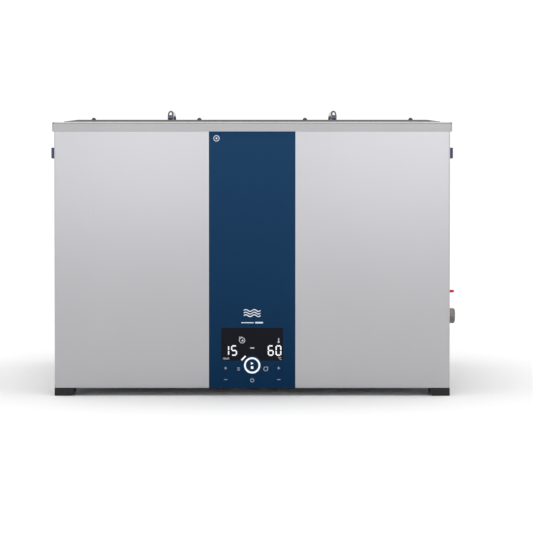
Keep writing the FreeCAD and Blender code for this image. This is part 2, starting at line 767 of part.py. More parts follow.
def bow_bar(x):
    """Round bar bent into a bow that runs from front to rear above the pan."""
    top = HANDLE_TOP - HANDLE_RADIUS
    bend_z = top - HANDLE_BEND
    bend_y = HANDLE_LEG_Y - HANDLE_BEND
    parts = [rod(HANDLE_RADIUS, (x, -bend_y, top), Y_AXIS, 2 * bend_y)]
    for side in (-1, 1):
        parts.append(rod(HANDLE_RADIUS, (x, side * HANDLE_LEG_Y, PAN_FLOOR), Z_AXIS, bend_z - PAN_FLOOR))
        circle = Part.makeCircle(HANDLE_RADIUS, V(x, side * HANDLE_LEG_Y, bend_z), Z_AXIS)
        section = Part.Face(Part.Wire(circle))
        parts.append(section.revolve(V(x, side * bend_y, bend_z), X_AXIS * -side, -90))
        parts.append(rod(STUD_RADIUS, (x, side * HANDLE_LEG_Y, PAN_FLOOR - STUD_LENGTH), Z_AXIS, STUD_LENGTH))
    return fuse_all(parts)


def handle_pad(x, side):
    """Blue pad on the outward face of a leg, cut to the bend of the bar."""
    left = x - PAD_WIDTH / 2
    outline = [
        (left, side * PAD_FACE_LOW, PAD_LOW),
        (left, side * PAD_FACE_HIGH, PAD_HIGH),
        (left, side * PAD_BACK, PAD_HIGH),
        (left, side * PAD_BACK, PAD_LOW),
    ]
    pad = polygon_bar(outline, X_AXIS * PAD_WIDTH)
    return pad.cut(bow_bar(x))


def lid_handle_pads():
    pads = []
    for x in (-HANDLE_X, HANDLE_X):
        for side in (-1, 1):
            pads.append(largest_solid(handle_pad(x, side)))
    return group(pads)


def largest_solid(shape):
    return max(shape.Solids, key=lambda solid: solid.Volume)


def lid_handle_nuts():
    nuts = []
    for x in (-HANDLE_X, HANDLE_X):
        for y in (-HANDLE_LEG_Y, HANDLE_LEG_Y):
            top = PAN_FLOOR - LID_SHEET
            bore = STUD_RADIUS + THREAD_GAP
            washer_low = top - LID_WASHER_THICK
            nut_low = washer_low - LID_NUT_HEIGHT
            washer = pipe(LID_WASHER_RADIUS, bore, (x, y, washer_low), Z_AXIS, LID_WASHER_THICK)
            nut = hexagon(LID_NUT_FLATS, (x, y, nut_low), Z_AXIS, LID_NUT_HEIGHT, X_AXIS)
            nut = nut.cut(rod(bore, (x, y, nut_low - 1), Z_AXIS, top - nut_low + 1))
            nuts.append(fuse_all([washer, nut]))
    return group(nuts)


def bumper_places():
    places = []
    for row in (-BUMPER_Y, BUMPER_Y):
        for i in range(4):
            places.append(((i - 1.5) * BUMPER_PITCH, row))
    return places


def lid_bumpers():
    """Rubber domes pushed into the border; a stem holds each one."""
    domes = []
    for x, y in bumper_places():
        sphere_radius = (BUMPER_RADIUS ** 2 + BUMPER_HEIGHT ** 2) / (2 * BUMPER_HEIGHT)
        centre_z = LID_TOP + BUMPER_HEIGHT - sphere_radius
        ball = Part.makeSphere(sphere_radius, V(x, y, centre_z))
        dome = ball.common(box(x - 9, x + 9, y - 9, y + 9, LID_TOP, LID_TOP + BUMPER_HEIGHT + 1))
        stem_low = LID_TOP - BUMPER_STEM_LENGTH
        stem = rod(BUMPER_STEM, (x, y, stem_low), Z_AXIS, BUMPER_STEM_LENGTH)
        barb = rod(BUMPER_BARB, (x, y, stem_low), Z_AXIS, BUMPER_BARB_LENGTH)
        domes.append(fuse_all([dome, stem, barb]))
    return group(domes)


# ---------------------------------------------------------------- carrying handles

def grip_middle_z():
    return (GRIP_LOW + GRIP_HIGH) / 2


def handle_screw_places():
    y = GRIP_HALF_SPAN - GRIP_LEG / 2
    return (-y, y)


def side_handle():
    """Moulded bow handle on the right side; its bar bows out slightly."""
    shoulder = GRIP_REACH - GRIP_BOW
    outer = bow_outline(CASE_X, shoulder, GRIP_REACH, GRIP_HALF_SPAN, GRIP_CORNER)
    inner_half = GRIP_HALF_SPAN - GRIP_LEG
    inner = bow_outline(CASE_X - 5, shoulder - GRIP_BAR, GRIP_REACH - GRIP_BAR, inner_half, GRIP_INNER_CORNER)
    solid = Part.Face(outer).extrude(V(0, 0, GRIP_HIGH - GRIP_LOW))
    solid = solid.cut(Part.Face(inner).extrude(V(0, 0, GRIP_HIGH - GRIP_LOW)))
    rims = edges_at_height(solid, GRIP_LOW) + edges_at_height(solid, GRIP_HIGH)
    rims = [e for e in rims if e.BoundBox.XMax > CASE_X + 0.1]
    solid = solid.makeFillet(GRIP_EDGE_RADIUS, rims)
    for y in handle_screw_places():
        start = (CASE_X - 1, y, grip_middle_z())
        solid = solid.cut(rod(GRIP_THREAD_RADIUS, start, X_AXIS, GRIP_THREAD_DEPTH))
    return solid


def flip(point):
    return V(point.x, -point.y, point.z)


def bow_outline(base_x, shoulder_x, crown_x, half_span, corner):
    z = GRIP_LOW
    start = V(base_x, -half_span, z)
    leg_end = V(shoulder_x - corner, -half_span, z)
    turn = corner * (1 - math.sqrt(0.5))
    corner_mid = V(shoulder_x - turn, -half_span + turn, z)
    bar_start = V(shoulder_x, -half_span + corner, z)
    crown = V(crown_x, 0, z)
    edges = [
        Part.makeLine(start, leg_end),
        Part.Arc(leg_end, corner_mid, bar_start).toShape(),
        Part.Arc(bar_start, crown, flip(bar_start)).toShape(),
        Part.Arc(flip(bar_start), flip(corner_mid), flip(leg_end)).toShape(),
        Part.makeLine(flip(leg_end), flip(start)),
        Part.makeLine(flip(start), start),
    ]
    return Part.Wire(edges)


# ---------------------------------------------------------------- drain and valve

def drain_pipe():
    """Elbow welded under the tank's drain hole, threaded into the valve."""
    stub_low = VALVE_Z + DRAIN_BEND
    turn_x = DRAIN_X + DRAIN_BEND
    flange_low = TANK_UNDERSIDE - DRAIN_FLANGE_THICK
    flange = rod(DRAIN_FLANGE_RADIUS, (DRAIN_X, VALVE_Y, flange_low), Z_AXIS, DRAIN_FLANGE_THICK)
    outer = fuse_all([flange] + elbow_run(PIPE_RADIUS, stub_low, turn_x, VALVE_IN - 0.2))
    thread_length = RETAINER_IN - 2 * THREAD_GAP - turn_x
    thread = rod(SOCKET_RADIUS - THREAD_GAP, (turn_x, VALVE_Y, VALVE_Z), X_AXIS, thread_length)
    bore = fuse_all(elbow_run(PIPE_BORE, stub_low, turn_x, RETAINER_IN + 1))
    return fuse_all([outer, thread]).cut(bore)


def elbow_run(radius, stub_low, turn_x, end_x):
    stub = rod(radius, (DRAIN_X, VALVE_Y, stub_low), Z_AXIS, TANK_UNDERSIDE - stub_low)
    section = Part.Face(Part.Wire(Part.makeCircle(radius, V(DRAIN_X, VALVE_Y, stub_low), Z_AXIS)))
    bend = section.revolve(V(turn_x, VALVE_Y, stub_low), Y_AXIS, -90)
    run = rod(radius, (turn_x, VALVE_Y, VALVE_Z), X_AXIS, end_x - turn_x)
    return [stub, bend, run]


def drain_gasket():
    """Grommet that closes the hole in the side round the valve."""
    lip_radius = WALL_HOLE_RADIUS + GASKET_LIP
    core = rod(WALL_HOLE_RADIUS, (INNER_X, VALVE_Y, VALVE_Z), X_AXIS, SHEET)
    inner_lip = rod(lip_radius, (INNER_X - GASKET_BEAD, VALVE_Y, VALVE_Z), X_AXIS, GASKET_BEAD)
    outer_lip = rod(lip_radius, (CASE_X, VALVE_Y, VALVE_Z), X_AXIS, GASKET_BEAD)
    ring = fuse_all([core, inner_lip, outer_lip])
    return ring.cut(valve_bar())


def valve_bar():
    """The valve's hexagonal bar with both ends chamfered."""
    length = VALVE_OUT - VALVE_IN
    bar = hexagon(VALVE_FLATS, (VALVE_IN, VALVE_Y, VALVE_Z), X_AXIS, length, Z_AXIS)
    wide = VALVE_FLATS / math.sqrt(3) + 0.1
    small = VALVE_FLATS / 2 - 1.0
    middle_in = VALVE_IN + HEX_CHAMFER
    middle_out = VALVE_OUT - HEX_CHAMFER
    middle = rod(wide, (middle_in, VALVE_Y, VALVE_Z), X_AXIS, middle_out - middle_in)
    nose = Part.makeCone(wide, small, HEX_CHAMFER, V(middle_out, VALVE_Y, VALVE_Z), X_AXIS)
    tail = Part.makeCone(small, wide, HEX_CHAMFER, V(VALVE_IN, VALVE_Y, VALVE_Z), X_AXIS)
    return bar.common(fuse_all([middle, nose, tail]))


def valve_body():
    boss_low = VALVE_Z + CHAMBER_RADIUS
    boss = rod(BOSS_RADIUS, (STEM_X, VALVE_Y, boss_low), Z_AXIS, BOSS_TOP - boss_low)
    body = fuse_all([valve_bar(), boss])
    chamber_in = chamber_start()
    chamber_out = 2 * STEM_X - chamber_in
    cuts = [
        rod(SOCKET_RADIUS, (VALVE_IN - 1, VALVE_Y, VALVE_Z), X_AXIS, chamber_in - VALVE_IN + 1),
        rod(CHAMBER_RADIUS, (chamber_in, VALVE_Y, VALVE_Z), X_AXIS, chamber_out - chamber_in),
        rod(WEB_BORE, (chamber_out, VALVE_Y, VALVE_Z), X_AXIS, 2),
        rod(OUTLET_RADIUS, (VALVE_OUT - OUTLET_LENGTH, VALVE_Y, VALVE_Z), X_AXIS, OUTLET_LENGTH + 1),
        rod(STEM_RADIUS + RUNNING_GAP, (STEM_X, VALVE_Y, VALVE_Z), Z_AXIS, BOSS_TOP),
    ]
    return body.cut(cuts[0].multiFuse(cuts[1:]))


def chamber_start():
    """Where the ball chamber begins; the chamber is symmetric about the stem."""
    return STEM_X - BALL_BORE - SEAT_THICK + SEAT_BITE


def valve_retainer():
    """Threaded ring that holds the inlet seat."""
    length = chamber_start() - RETAINER_IN
    return pipe(SOCKET_RADIUS, WEB_BORE, (RETAINER_IN, VALVE_Y, VALVE_Z), X_AXIS, length)


def ball_sphere(extra):
    return Part.makeSphere(BALL_RADIUS + extra, V(STEM_X, VALVE_Y, VALVE_Z))


def valve_seats():
    start = chamber_start()
    far = 2 * STEM_X - start
    inlet = pipe(CHAMBER_RADIUS, BALL_BORE, (start, VALVE_Y, VALVE_Z), X_AXIS, SEAT_THICK)
    outlet = pipe(CHAMBER_RADIUS, BALL_BORE, (far - SEAT_THICK, VALVE_Y, VALVE_Z), X_AXIS, SEAT_THICK)
    clear = ball_sphere(RUNNING_GAP)
    return group([inlet.cut(clear), outlet.cut(clear)])


def valve_ball():
    """Closed at rest: the bore lies across the flow."""
    ball = ball_sphere(0.0)
    bore = rod(BALL_BORE, (STEM_X, VALVE_Y - 20, VALVE_Z), Y_AXIS, 40)
    slot_low = VALVE_Z + BALL_RADIUS - TANG_DEPTH
    half = TANG_HALF_THICK + TANG_GAP
    tang_slot = box(STEM_X - half, STEM_X + half, VALVE_Y - 10, VALVE_Y + 10, slot_low, slot_low + 10)
    return ball.cut(bore).cut(tang_slot)


def valve_stem():
    tang_low = VALVE_Z + BALL_RADIUS - TANG_DEPTH + TANG_GAP
    shaft_low = VALVE_Z + BALL_RADIUS + 2 * TANG_GAP
    thin = TANG_HALF_THICK
    wide = TANG_HALF_WIDE
    tang = box(STEM_X - thin, STEM_X + thin, VALVE_Y - wide, VALVE_Y + wide, tang_low, shaft_low)
    shaft = rod(STEM_RADIUS, (STEM_X, VALVE_Y, shaft_low), Z_AXIS, LEVER_HUB_Z - shaft_low)
    half = SQUARE / 2
    square_top = LEVER_HUB_Z + LEVER_SHEET
    square = box(STEM_X - half, STEM_X + half, VALVE_Y - half, VALVE_Y + half, LEVER_HUB_Z, square_top)
    thread = rod(LEVER_THREAD_RADIUS, (STEM_X, VALVE_Y, square_top), Z_AXIS, LEVER_THREAD_LENGTH)
    return fuse_all([tang, shaft, square, thread])


def valve_gland_nut():
    nut = hexagon(GLAND_FLATS, (STEM_X, VALVE_Y, BOSS_TOP), Z_AXIS, GLAND_TOP - BOSS_TOP, X_AXIS)
    return nut.cut(rod(STEM_RADIUS + RUNNING_GAP, (STEM_X, VALVE_Y, BOSS_TOP - 1), Z_AXIS, 10))


def lever_strip(width, thick, y_start, y_end, below):
    """A strip that follows the lever's line between two stations along Y."""
    hub_edge = VALVE_Y - LEVER_HUB_REACH
    slope = LEVER_RISE / (hub_edge - LEVER_TIP_Y)
    low_start = LEVER_HUB_Z - below + slope * (hub_edge - y_start)
    low_end = LEVER_HUB_Z - below + slope * (hub_edge - y_end)
    left = STEM_X - width / 2
    outline = [
        (left, y_start, low_start),
        (left, y_start, low_start + thick),
        (left, y_end, low_end + thick),
        (left, y_end, low_end),
    ]
    return polygon_bar(outline, X_AXIS * width)


def valve_lever():
    """Stamped steel lever, closed at rest and pointing to the front."""
    hub_edge = VALVE_Y - LEVER_HUB_REACH
    disc = rod(LEVER_DISC_RADIUS, (STEM_X, VALVE_Y, LEVER_HUB_Z), Z_AXIS, LEVER_SHEET)
    half = LEVER_WIDTH / 2
    neck = box(STEM_X - half, STEM_X + half, hub_edge, VALVE_Y, LEVER_HUB_Z, LEVER_HUB_Z + LEVER_SHEET)
    arm = lever_strip(LEVER_WIDTH, LEVER_SHEET, hub_edge, LEVER_TIP_Y, 0.0)
    blank = fuse_all([disc, neck, arm])
    hole = SQUARE / 2
    square = box(STEM_X - hole, STEM_X + hole, VALVE_Y - hole, VALVE_Y + hole, 0, LEVER_HUB_Z + 10)
    return blank.cut(square)


def valve_lever_grip():
    """Dipped sleeve over the lever's outer end."""
    below = (GRIP_SLEEVE_THICK - LEVER_SHEET) / 2
    sleeve = lever_strip(GRIP_SLEEVE_WIDTH, GRIP_SLEEVE_THICK, GRIP_SLEEVE_START, GRIP_SLEEVE_END, below)
    sleeve = sleeve.makeFillet(GRIP_SLEEVE_THICK * 0.4, sleeve.Edges)
    return sleeve.cut(valve_lever())


def valve_lever_nut():
    low = LEVER_HUB_Z + LEVER_SHEET
    nut = hexagon(LEVER_NUT_FLATS, (STEM_X, VALVE_Y, low), Z_AXIS, LEVER_NUT_HEIGHT, X_AXIS)
    return nut.cut(rod(LEVER_THREAD_RADIUS, (STEM_X, VALVE_Y, low - 1), Z_AXIS, 10))


# ---------------------------------------------------------------- under the tank

def transducer_places():
    places = []
    for column in range(TRANSDUCER_COLUMNS):
        for row in range(TRANSDUCER_ROWS):
            x = (column - (TRANSDUCER_COLUMNS - 1) / 2) * TRANSDUCER_PITCH_X
            y = (row - (TRANSDUCER_ROWS - 1) / 2) * TRANSDUCER_PITCH_Y
            places.append((x, y))
    return places


def transducer_front_masses():
    low = TANK_UNDERSIDE - FRONT_MASS_HEIGHT
    masses = []
    for x, y in transducer_places():
        horn = Part.makeCone(STACK_RADIUS, FRONT_MASS_TOP_RADIUS, FRONT_MASS_HEIGHT, V(x, y, low))
        bolt_hole = rod(STACK_BOLT_RADIUS, (x, y, low - 1), Z_AXIS, STACK_BOLT_REACH + 2)
        masses.append(horn.cut(bolt_hole))
    return group(masses)


def transducer_piezo_rings():
    rings = []
    for x, y in transducer_places():
        for layer in (1, 2):
            z = TANK_UNDERSIDE - FRONT_MASS_HEIGHT - layer * PIEZO_THICK
            height = PIEZO_THICK - ELECTRODE_GAP
            rings.append(pipe(STACK_RADIUS, PIEZO_BORE, (x, y, z), Z_AXIS, height))
    return group(rings)


def back_mass_top():
    return TANK_UNDERSIDE - FRONT_MASS_HEIGHT - 2 * PIEZO_THICK - ELECTRODE_GAP


def transducer_back_masses():
    low = back_mass_top() - BACK_MASS_HEIGHT
    masses = []
    for x, y in transducer_places():
        bore = STACK_BOLT_RADIUS + ELECTRODE_GAP
        masses.append(pipe(STACK_RADIUS, bore, (x, y, low), Z_AXIS, BACK_MASS_HEIGHT))
    return group(masses)


def transducer_bolts():
    low = back_mass_top() - BACK_MASS_HEIGHT
    bolts = []
    for x, y in transducer_places():
        length = TANK_UNDERSIDE - FRONT_MASS_HEIGHT + STACK_BOLT_REACH - low
        shank = rod(STACK_BOLT_RADIUS, (x, y, low), Z_AXIS, length)
        head_low = low - STACK_HEAD_HEIGHT
        head = hexagon(STACK_HEAD_FLATS, (x, y, head_low), Z_AXIS, STACK_HEAD_HEIGHT, X_AXIS)
        bolts.append(fuse_all([shank, head]))
    return group(bolts)


def heating_pads():
    """Silicone heater mats bonded to both ends and to the rear of the tank."""
    end_x = TANK_LENGTH / 2 + TANK_SHEET
    rear_y = TANK_WIDTH / 2 + TANK_SHEET
    right = box(end_x, end_x + HEATER_THICK, -END_HEATER_Y, END_HEATER_Y, *END_HEATER_Z)
    rear = box(-REAR_HEATER_X, REAR_HEATER_X, rear_y, rear_y + HEATER_THICK, *REAR_HEATER_Z)
    return group([right, mirrored_x(right), rear])


def temperature_sensor():
    rear_y = TANK_WIDTH / 2 + TANK_SHEET
    left = SENSOR_X - SENSOR_HALF_WIDTH
    right = SENSOR_X + SENSOR_HALF_WIDTH
    clip = box(left, right, rear_y, rear_y + PROBE_RADIUS / 2, *SENSOR_Z)
    probe = rod(PROBE_RADIUS, (SENSOR_X, rear_y + PROBE_RADIUS + 1, SENSOR_Z[0]), Z_AXIS, PROBE_LENGTH)
    return fuse_all([clip, probe])


def safety_thermostat():
    rear_y = TANK_WIDTH / 2 + TANK_SHEET
    cup_depth = 6.0
    cup = rod(8.0, (THERMOSTAT_X, rear_y, THERMOSTAT_Z), Y_AXIS, cup_depth)
    base = rod(6.0, (THERMOSTAT_X, rear_y + cup_depth, THERMOSTAT_Z), Y_AXIS, 5)
    x = THERMOSTAT_X
    z = THERMOSTAT_Z
    ears = box(x - 12, x + 12, rear_y, rear_y + 1.0, z - 4, z + 4)
    return fuse_all([cup, base, ears])


# ---------------------------------------------------------------- electronics

def generator_board():
    top = BOARD_Z + BOARD_THICK
    board = box(GENERATOR_X[0], GENERATOR_X[1], GENERATOR_Y[0], GENERATOR_Y[1], BOARD_Z, top)
    choke = pipe(20, 9, (60, -70, top), Z_AXIS, 16)
    relay = box(30, 48, 88, 118, top, top + 16)
    terminal = box(-20, 24, 108, 118, top, top + 12)
    bridge = box(-50, -20, -90, -60, top, top + 8)
    return fuse_all([board, choke, relay, terminal, bridge])


def generator_post_places():
    xs = (GENERATOR_X[0] + STANDOFF_INSET, GENERATOR_X[1] - STANDOFF_INSET)
    ys = (GENERATOR_Y[0] + STANDOFF_INSET, GENERATOR_Y[1] - STANDOFF_INSET)
    return [(x, y) for x in xs for y in ys]


def board_standoffs():
    posts = []
    for x, y in generator_post_places():
        posts.append(hexagon(STANDOFF_FLATS, (x, y, FLOOR_TOP), Z_AXIS, BOARD_Z - FLOOR_TOP, X_AXIS))
    for x in (-CONTROL_POST_X, CONTROL_POST_X):
        for z in CONTROL_POSTS_Z:
            posts.append(rod(CONTROL_POST_RADIUS, (x, -INNER_Y, z), Y_AXIS, BOARD_FRONT + INNER_Y))
    return group(posts)


def heat_sink():
    base_z = BOARD_Z + BOARD_THICK
    fin_low = base_z + SINK_BASE
    width = (SINK_FINS - 1) * FIN_PITCH + FIN_THICK
    parts = [box(SINK_X, SINK_X + width, *SINK_Y, base_z, fin_low)]
    for i in range(SINK_FINS):
        x = SINK_X + FIN_PITCH * i
        parts.append(box(x, x + FIN_THICK, *SINK_Y, fin_low, base_z + SINK_HEIGHT))
    return fuse_all(parts)


def output_transformer():
    base_z = BOARD_Z + BOARD_THICK
    window_low = base_z + CORE_YOKE
    window_high = window_low + CORE_WINDOW
    left, right = CORE_X
    lower = box(left, right, *CORE_Y, base_z, window_low)
    upper = box(left, right, *CORE_Y, window_high, window_high + CORE_YOKE)
    near_leg = box(left, left + CORE_LEG, *CORE_Y, window_low, window_high)
    far_leg = box(right - CORE_LEG, right, *CORE_Y, window_low, window_high)
    middle = ((left + right) / 2, sum(CORE_Y) / 2, window_low)
    winding = rod(WINDING_RADIUS, middle, Z_AXIS, CORE_WINDOW)
    return fuse_all([lower, upper, near_leg, far_leg, winding])


def board_capacitors():
    base_z = BOARD_Z + BOARD_THICK
    cans = []
    for x, y in CAN_PLACES:
        can = rod(CAN_RADIUS, (x, y, base_z), Z_AXIS, CAN_HEIGHT)
        cans.append(can.makeFillet(CAN_EDGE, edges_at_height(can, base_z + CAN_HEIGHT)))
    for y in FILM_CAP_ROWS:
        cans.append(box(*FILM_CAP_X, y, y + FILM_CAP_THICK, base_z, base_z + FILM_CAP_HEIGHT))
    return group(cans)


# ---------------------------------------------------------------- rear fittings

def fan_corners():
    return [(sx * FAN_HOLE, sz * FAN_HOLE) for sx in (-1, 1) for sz in (-1, 1)]


def fan_front():
    return REAR_INNER - FAN_DEPTH


def fan_frame():
    half = FAN_SIZE / 2
    y0 = fan_front()
    frame = box(FAN_X - half, FAN_X + half, y0, REAR_INNER, FAN_Z - half, FAN_Z + half)
    frame = frame.makeFillet(FAN_CORNER, [e for e in frame.Edges if e.BoundBox.YLength > 1])
    frame = frame.cut(rod(FAN_OPENING, (FAN_X, y0 - 1, FAN_Z), Y_AXIS, FAN_DEPTH + 2))
    holes = []
    for dx, dz in fan_corners():
        holes.append(rod(M4_HOLE, (FAN_X + dx, y0 - 1, FAN_Z + dz), Y_AXIS, FAN_DEPTH + 2))
    frame = frame.cut(group(holes))
    struts = [rod(FAN_HUB + 1, (FAN_X, y0, FAN_Z), Y_AXIS, FAN_STRUT)]
    for angle in (45, 135, 225, 315):
        arm = box(0, FAN_OPENING + 1, y0, y0 + FAN_STRUT, -FAN_STRUT_HALF, FAN_STRUT_HALF)
        arm.rotate(V(0, 0, 0), Y_AXIS, angle)
        arm.translate(V(FAN_X, 0, FAN_Z))
        struts.append(arm)
    pin = rod(FAN_PIN, (FAN_X, y0, FAN_Z), Y_AXIS, FAN_PIN_LENGTH)
    return fuse_all([frame, pin] + struts)


def fan_rotor():
    y0 = fan_front() + FAN_HUB_GAP
    depth = FAN_HUB_DEPTH
    tip = FAN_OPENING - BLADE_TIP_GAP
    hub = rod(FAN_HUB, (FAN_X, y0, FAN_Z), Y_AXIS, depth)
    hub = hub.makeFillet(FAN_HUB_EDGE, [e for e in hub.Edges if e.BoundBox.YMin > y0 + depth - 0.1])
    reach = rod(tip, (FAN_X, y0 + FAN_HUB_EDGE / 2, FAN_Z), Y_AXIS, depth - FAN_HUB_EDGE)
    blades = []
    for i in range(FAN_BLADES):
        half = BLADE_THICK / 2
        blade = box(FAN_HUB - 3, tip, -half, half, -BLADE_CHORD / 2, BLADE_CHORD / 2)
        blade.rotate(V(0, 0, 0), X_AXIS, BLADE_PITCH)
        blade.rotate(V(0, 0, 0), Y_AXIS, 360.0 * i / FAN_BLADES)
        blade.translate(V(FAN_X, y0 + depth / 2, FAN_Z))
        blades.append(blade.common(reach))
    wheel = fuse_all([hub] + blades)
    bore_depth = FAN_PIN_LENGTH - FAN_HUB_GAP + 1
    return wheel.cut(rod(FAN_PIN + RUNNING_GAP, (FAN_X, y0 - 1, FAN_Z), Y_AXIS, bore_depth + 1))


def fan_guard():
    """Wire guard outside the panel, with an eye at each corner."""
    wire = GUARD_WIRE
    y = CASE_Y + 2 * wire
    rings = []
    for radius in GUARD_RINGS:
        rings.append(Part.makeTorus(radius, wire, V(FAN_X, y, FAN_Z), Y_AXIS))
    spokes = []
    for dx, dz in fan_corners():
        inner = GUARD_RINGS[0] - 0.5
        outer = FAN_HOLE * math.sqrt(2) - GUARD_EYE_RADIUS + 0.1
        direction = V(dx, 0, dz).normalize()
        start = V(FAN_X, y - wire * 0.7, FAN_Z) + direction * inner
        spokes.append(Part.makeCylinder(wire, outer - inner, start, direction))
        eye_at = (FAN_X + dx, CASE_Y, FAN_Z + dz)
        spokes.append(pipe(GUARD_EYE_RADIUS, M4_HOLE, eye_at, Y_AXIS, GUARD_EYE_THICK))
    return fuse_all(rings + spokes)


def inlet_middle_z():
    return (INLET_LOW + INLET_HIGH) / 2


def inlet_screw_places():
    return (INLET_X - INLET_SCREW_X, INLET_X + INLET_SCREW_X)


def mains_inlet():
    """Panel inlet with three contact blades and a bay for the fuse drawer above the socket."""
    front = CASE_Y + INLET_FLANGE
    half = INLET_FLANGE_HALF
    low, high = INLET_LOW - INLET_FLANGE_PROUD, INLET_HIGH + INLET_FLANGE_PROUD
    flange = box(INLET_X - half, INLET_X + half, CASE_Y, front, low, high)
    flange = flange.makeFillet(INLET_CORNER, [e for e in flange.Edges if e.BoundBox.YLength > 1])
    xs = (INLET_X - INLET_HALF, INLET_X + INLET_HALF)
    body = box(*xs, CASE_Y - INLET_BODY_DEPTH, CASE_Y, INLET_LOW, INLET_HIGH)
    shell = fuse_all([flange, body])
    wide = SOCKET_HALF_X
    tall = SOCKET_HALF_Z
    corners = (
        (-wide, -tall),
        (wide, -tall),
        (wide, tall - SOCKET_CUT),
        (wide - SOCKET_CUT, tall),
        (SOCKET_CUT - wide, tall),
        (-wide, tall - SOCKET_CUT),
    )
    floor_y = front - SOCKET_DEPTH
    outline = [(INLET_X + dx, floor_y, INLET_SOCKET_Z + dz) for dx, dz in corners]
    socket = polygon_bar(outline, Y_AXIS * (SOCKET_DEPTH + 1))
    bay_x = DRAWER_HALF_X + DRAWER_GAP
    bay_z = DRAWER_HALF_Z + DRAWER_GAP
    zs = (INLET_FUSE_Z - bay_z, INLET_FUSE_Z + bay_z)
    bay = box(INLET_X - bay_x, INLET_X + bay_x, front - DRAWER_DEPTH - 1, front + 1, *zs)
    shell = shell.cut(socket).cut(bay)
    for x in inlet_screw_places():
        shell = shell.cut(rod(M3_HOLE, (x, CASE_Y - 1, inlet_middle_z()), Y_AXIS, 5))
    blades = []
    thin, deep = BLADE_SIZE
    for dx, dz in ((-BLADE_SPACING, -deep / 2), (BLADE_SPACING, -deep / 2), (0.0, deep / 2)):
        x = INLET_X + dx
        z = INLET_SOCKET_Z + dz
        span = (floor_y, front - BLADE_SETBACK)
        blades.append(box(x - thin / 2, x + thin / 2, *span, z - deep / 2, z + deep / 2))
    return group([shell] + blades)


def fuse_drawer():
    front = CASE_Y + INLET_FLANGE
    face = front + DRAWER_PROUD
    low = INLET_FUSE_Z - DRAWER_HALF_Z
    high = INLET_FUSE_Z + DRAWER_HALF_Z
    xs = (INLET_X - DRAWER_HALF_X, INLET_X + DRAWER_HALF_X)
    tray = box(*xs, front - DRAWER_DEPTH, face, low, high)
    wells = []
    for dx in (-FUSE_WELL_X, FUSE_WELL_X):
        x = INLET_X + dx
        sides = (x - FUSE_WELL_HALF, x + FUSE_WELL_HALF)
        wells.append(box(*sides, front - DRAWER_DEPTH + 1, front - 3, low + 1, high + 1))
    catch = box(INLET_X - 4, INLET_X + 4, face, face + 1.4, high - 3.0, high - 1.4)
    return fuse_all([tray, catch]).cut(group(wells))


def case_screws():
    screws = []
    for x in (-SCREW_X, SCREW_X):
        for z in SCREW_HEIGHTS:
            screws.append(screw((x, CASE_Y, z), Y_AXIS * -1, 3.8, 2.3, 2.0, 9.0))
    for dx, dz in fan_corners():
        seat = (FAN_X + dx, CASE_Y + 1.4, FAN_Z + dz)
        screws.append(screw(seat, Y_AXIS * -1, 3.8, 2.3, 2.0, 20.0))
    for x in inlet_screw_places():
        seat = (x, CASE_Y + INLET_FLANGE, inlet_middle_z())
        screws.append(screw(seat, Y_AXIS * -1, 2.8, 1.7, 1.5, 9.0))
    for x, y in foot_screw_places():
        screws.append(screw((x, y, 6.0), Z_AXIS, 4.6, 2.6, 2.4, 12.0))
    for side in (-1, 1):
        for y in handle_screw_places():
            seat = (side * INNER_X, y, grip_middle_z())
            screws.append(screw(seat, X_AXIS * side, 4.4, 2.8, 2.0, 14.0))
    return group(screws)


# ---------------------------------------------------------------- assembly

def all_parts():
    parts = {
        "outer_housing": outer_housing(),
        "rear_panel": rear_panel(),
        "bottom_plate": bottom_plate(),
        "tank": tank(),
        "rim_seal": rim_seal(),
        "front_overlay": front_overlay(),
        "display_window": display_window(),
        "ring_light": ring_light(),
        "button_start_stop": start_key(),
        "control_board": control_board(),
        "display_module": display_module(),
        "key_switches": key_switches(),
        "lid_pan": lid_pan(),
        "lid_handle_left": bow_bar(-HANDLE_X),
        "lid_handle_right": bow_bar(HANDLE_X),
        "lid_handle_pads": lid_handle_pads(),
        "lid_handle_nuts": lid_handle_nuts(),
        "lid_bumpers": lid_bumpers(),
        "side_handle_left": mirrored_x(side_handle()),
        "side_handle_right": side_handle(),
        "drain_pipe": drain_pipe(),
        "drain_gasket": drain_gasket(),
        "valve_body": valve_body(),
        "valve_retainer": valve_retainer(),
        "valve_ball": valve_ball(),
        "valve_seats": valve_seats(),
        "valve_stem": valve_stem(),
        "valve_gland_nut": valve_gland_nut(),
        "valve_lever": valve_lever(),
        "valve_lever_nut": valve_lever_nut(),
        "valve_lever_grip": valve_lever_grip(),
        "heating_pads": heating_pads(),
        "temperature_sensor": temperature_sensor(),
        "safety_thermostat": safety_thermostat(),
        "transducer_front_masses": transducer_front_masses(),
        "transducer_piezo_rings": transducer_piezo_rings(),
        "transducer_back_masses": transducer_back_masses(),
        "transducer_bolts": transducer_bolts(),
        "generator_board": generator_board(),
        "board_standoffs": board_standoffs(),
        "heat_sink": heat_sink(),
        "output_transformer": output_transformer(),
        "board_capacitors": board_capacitors(),
        "fan_frame": fan_frame(),
        "fan_rotor": fan_rotor(),
        "fan_guard": fan_guard(),
        "mains_inlet": mains_inlet(),
        "fuse_drawer": fuse_drawer(),
        "case_screws": case_screws(),
    }
    for name, (x, z) in key_places().items():
        parts[name] = small_key(x, z)
    for depth_name, sign_y in (("front", -1), ("rear", 1)):
        for side_name, sign_x in (("left", -1), ("right", 1)):
            parts["foot_" + depth_name + "_" + side_name] = foot(sign_x, sign_y)
    return parts


def main():
    os.makedirs("parts", exist_ok=True)
    for name, shape in all_parts().items():
        shape.exportStep("parts/" + name + ".step")
        if not shape.isValid():
            print("not valid:", name)
        print(name, len(shape.Solids), round(shape.Volume))


main()
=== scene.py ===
import json
import math

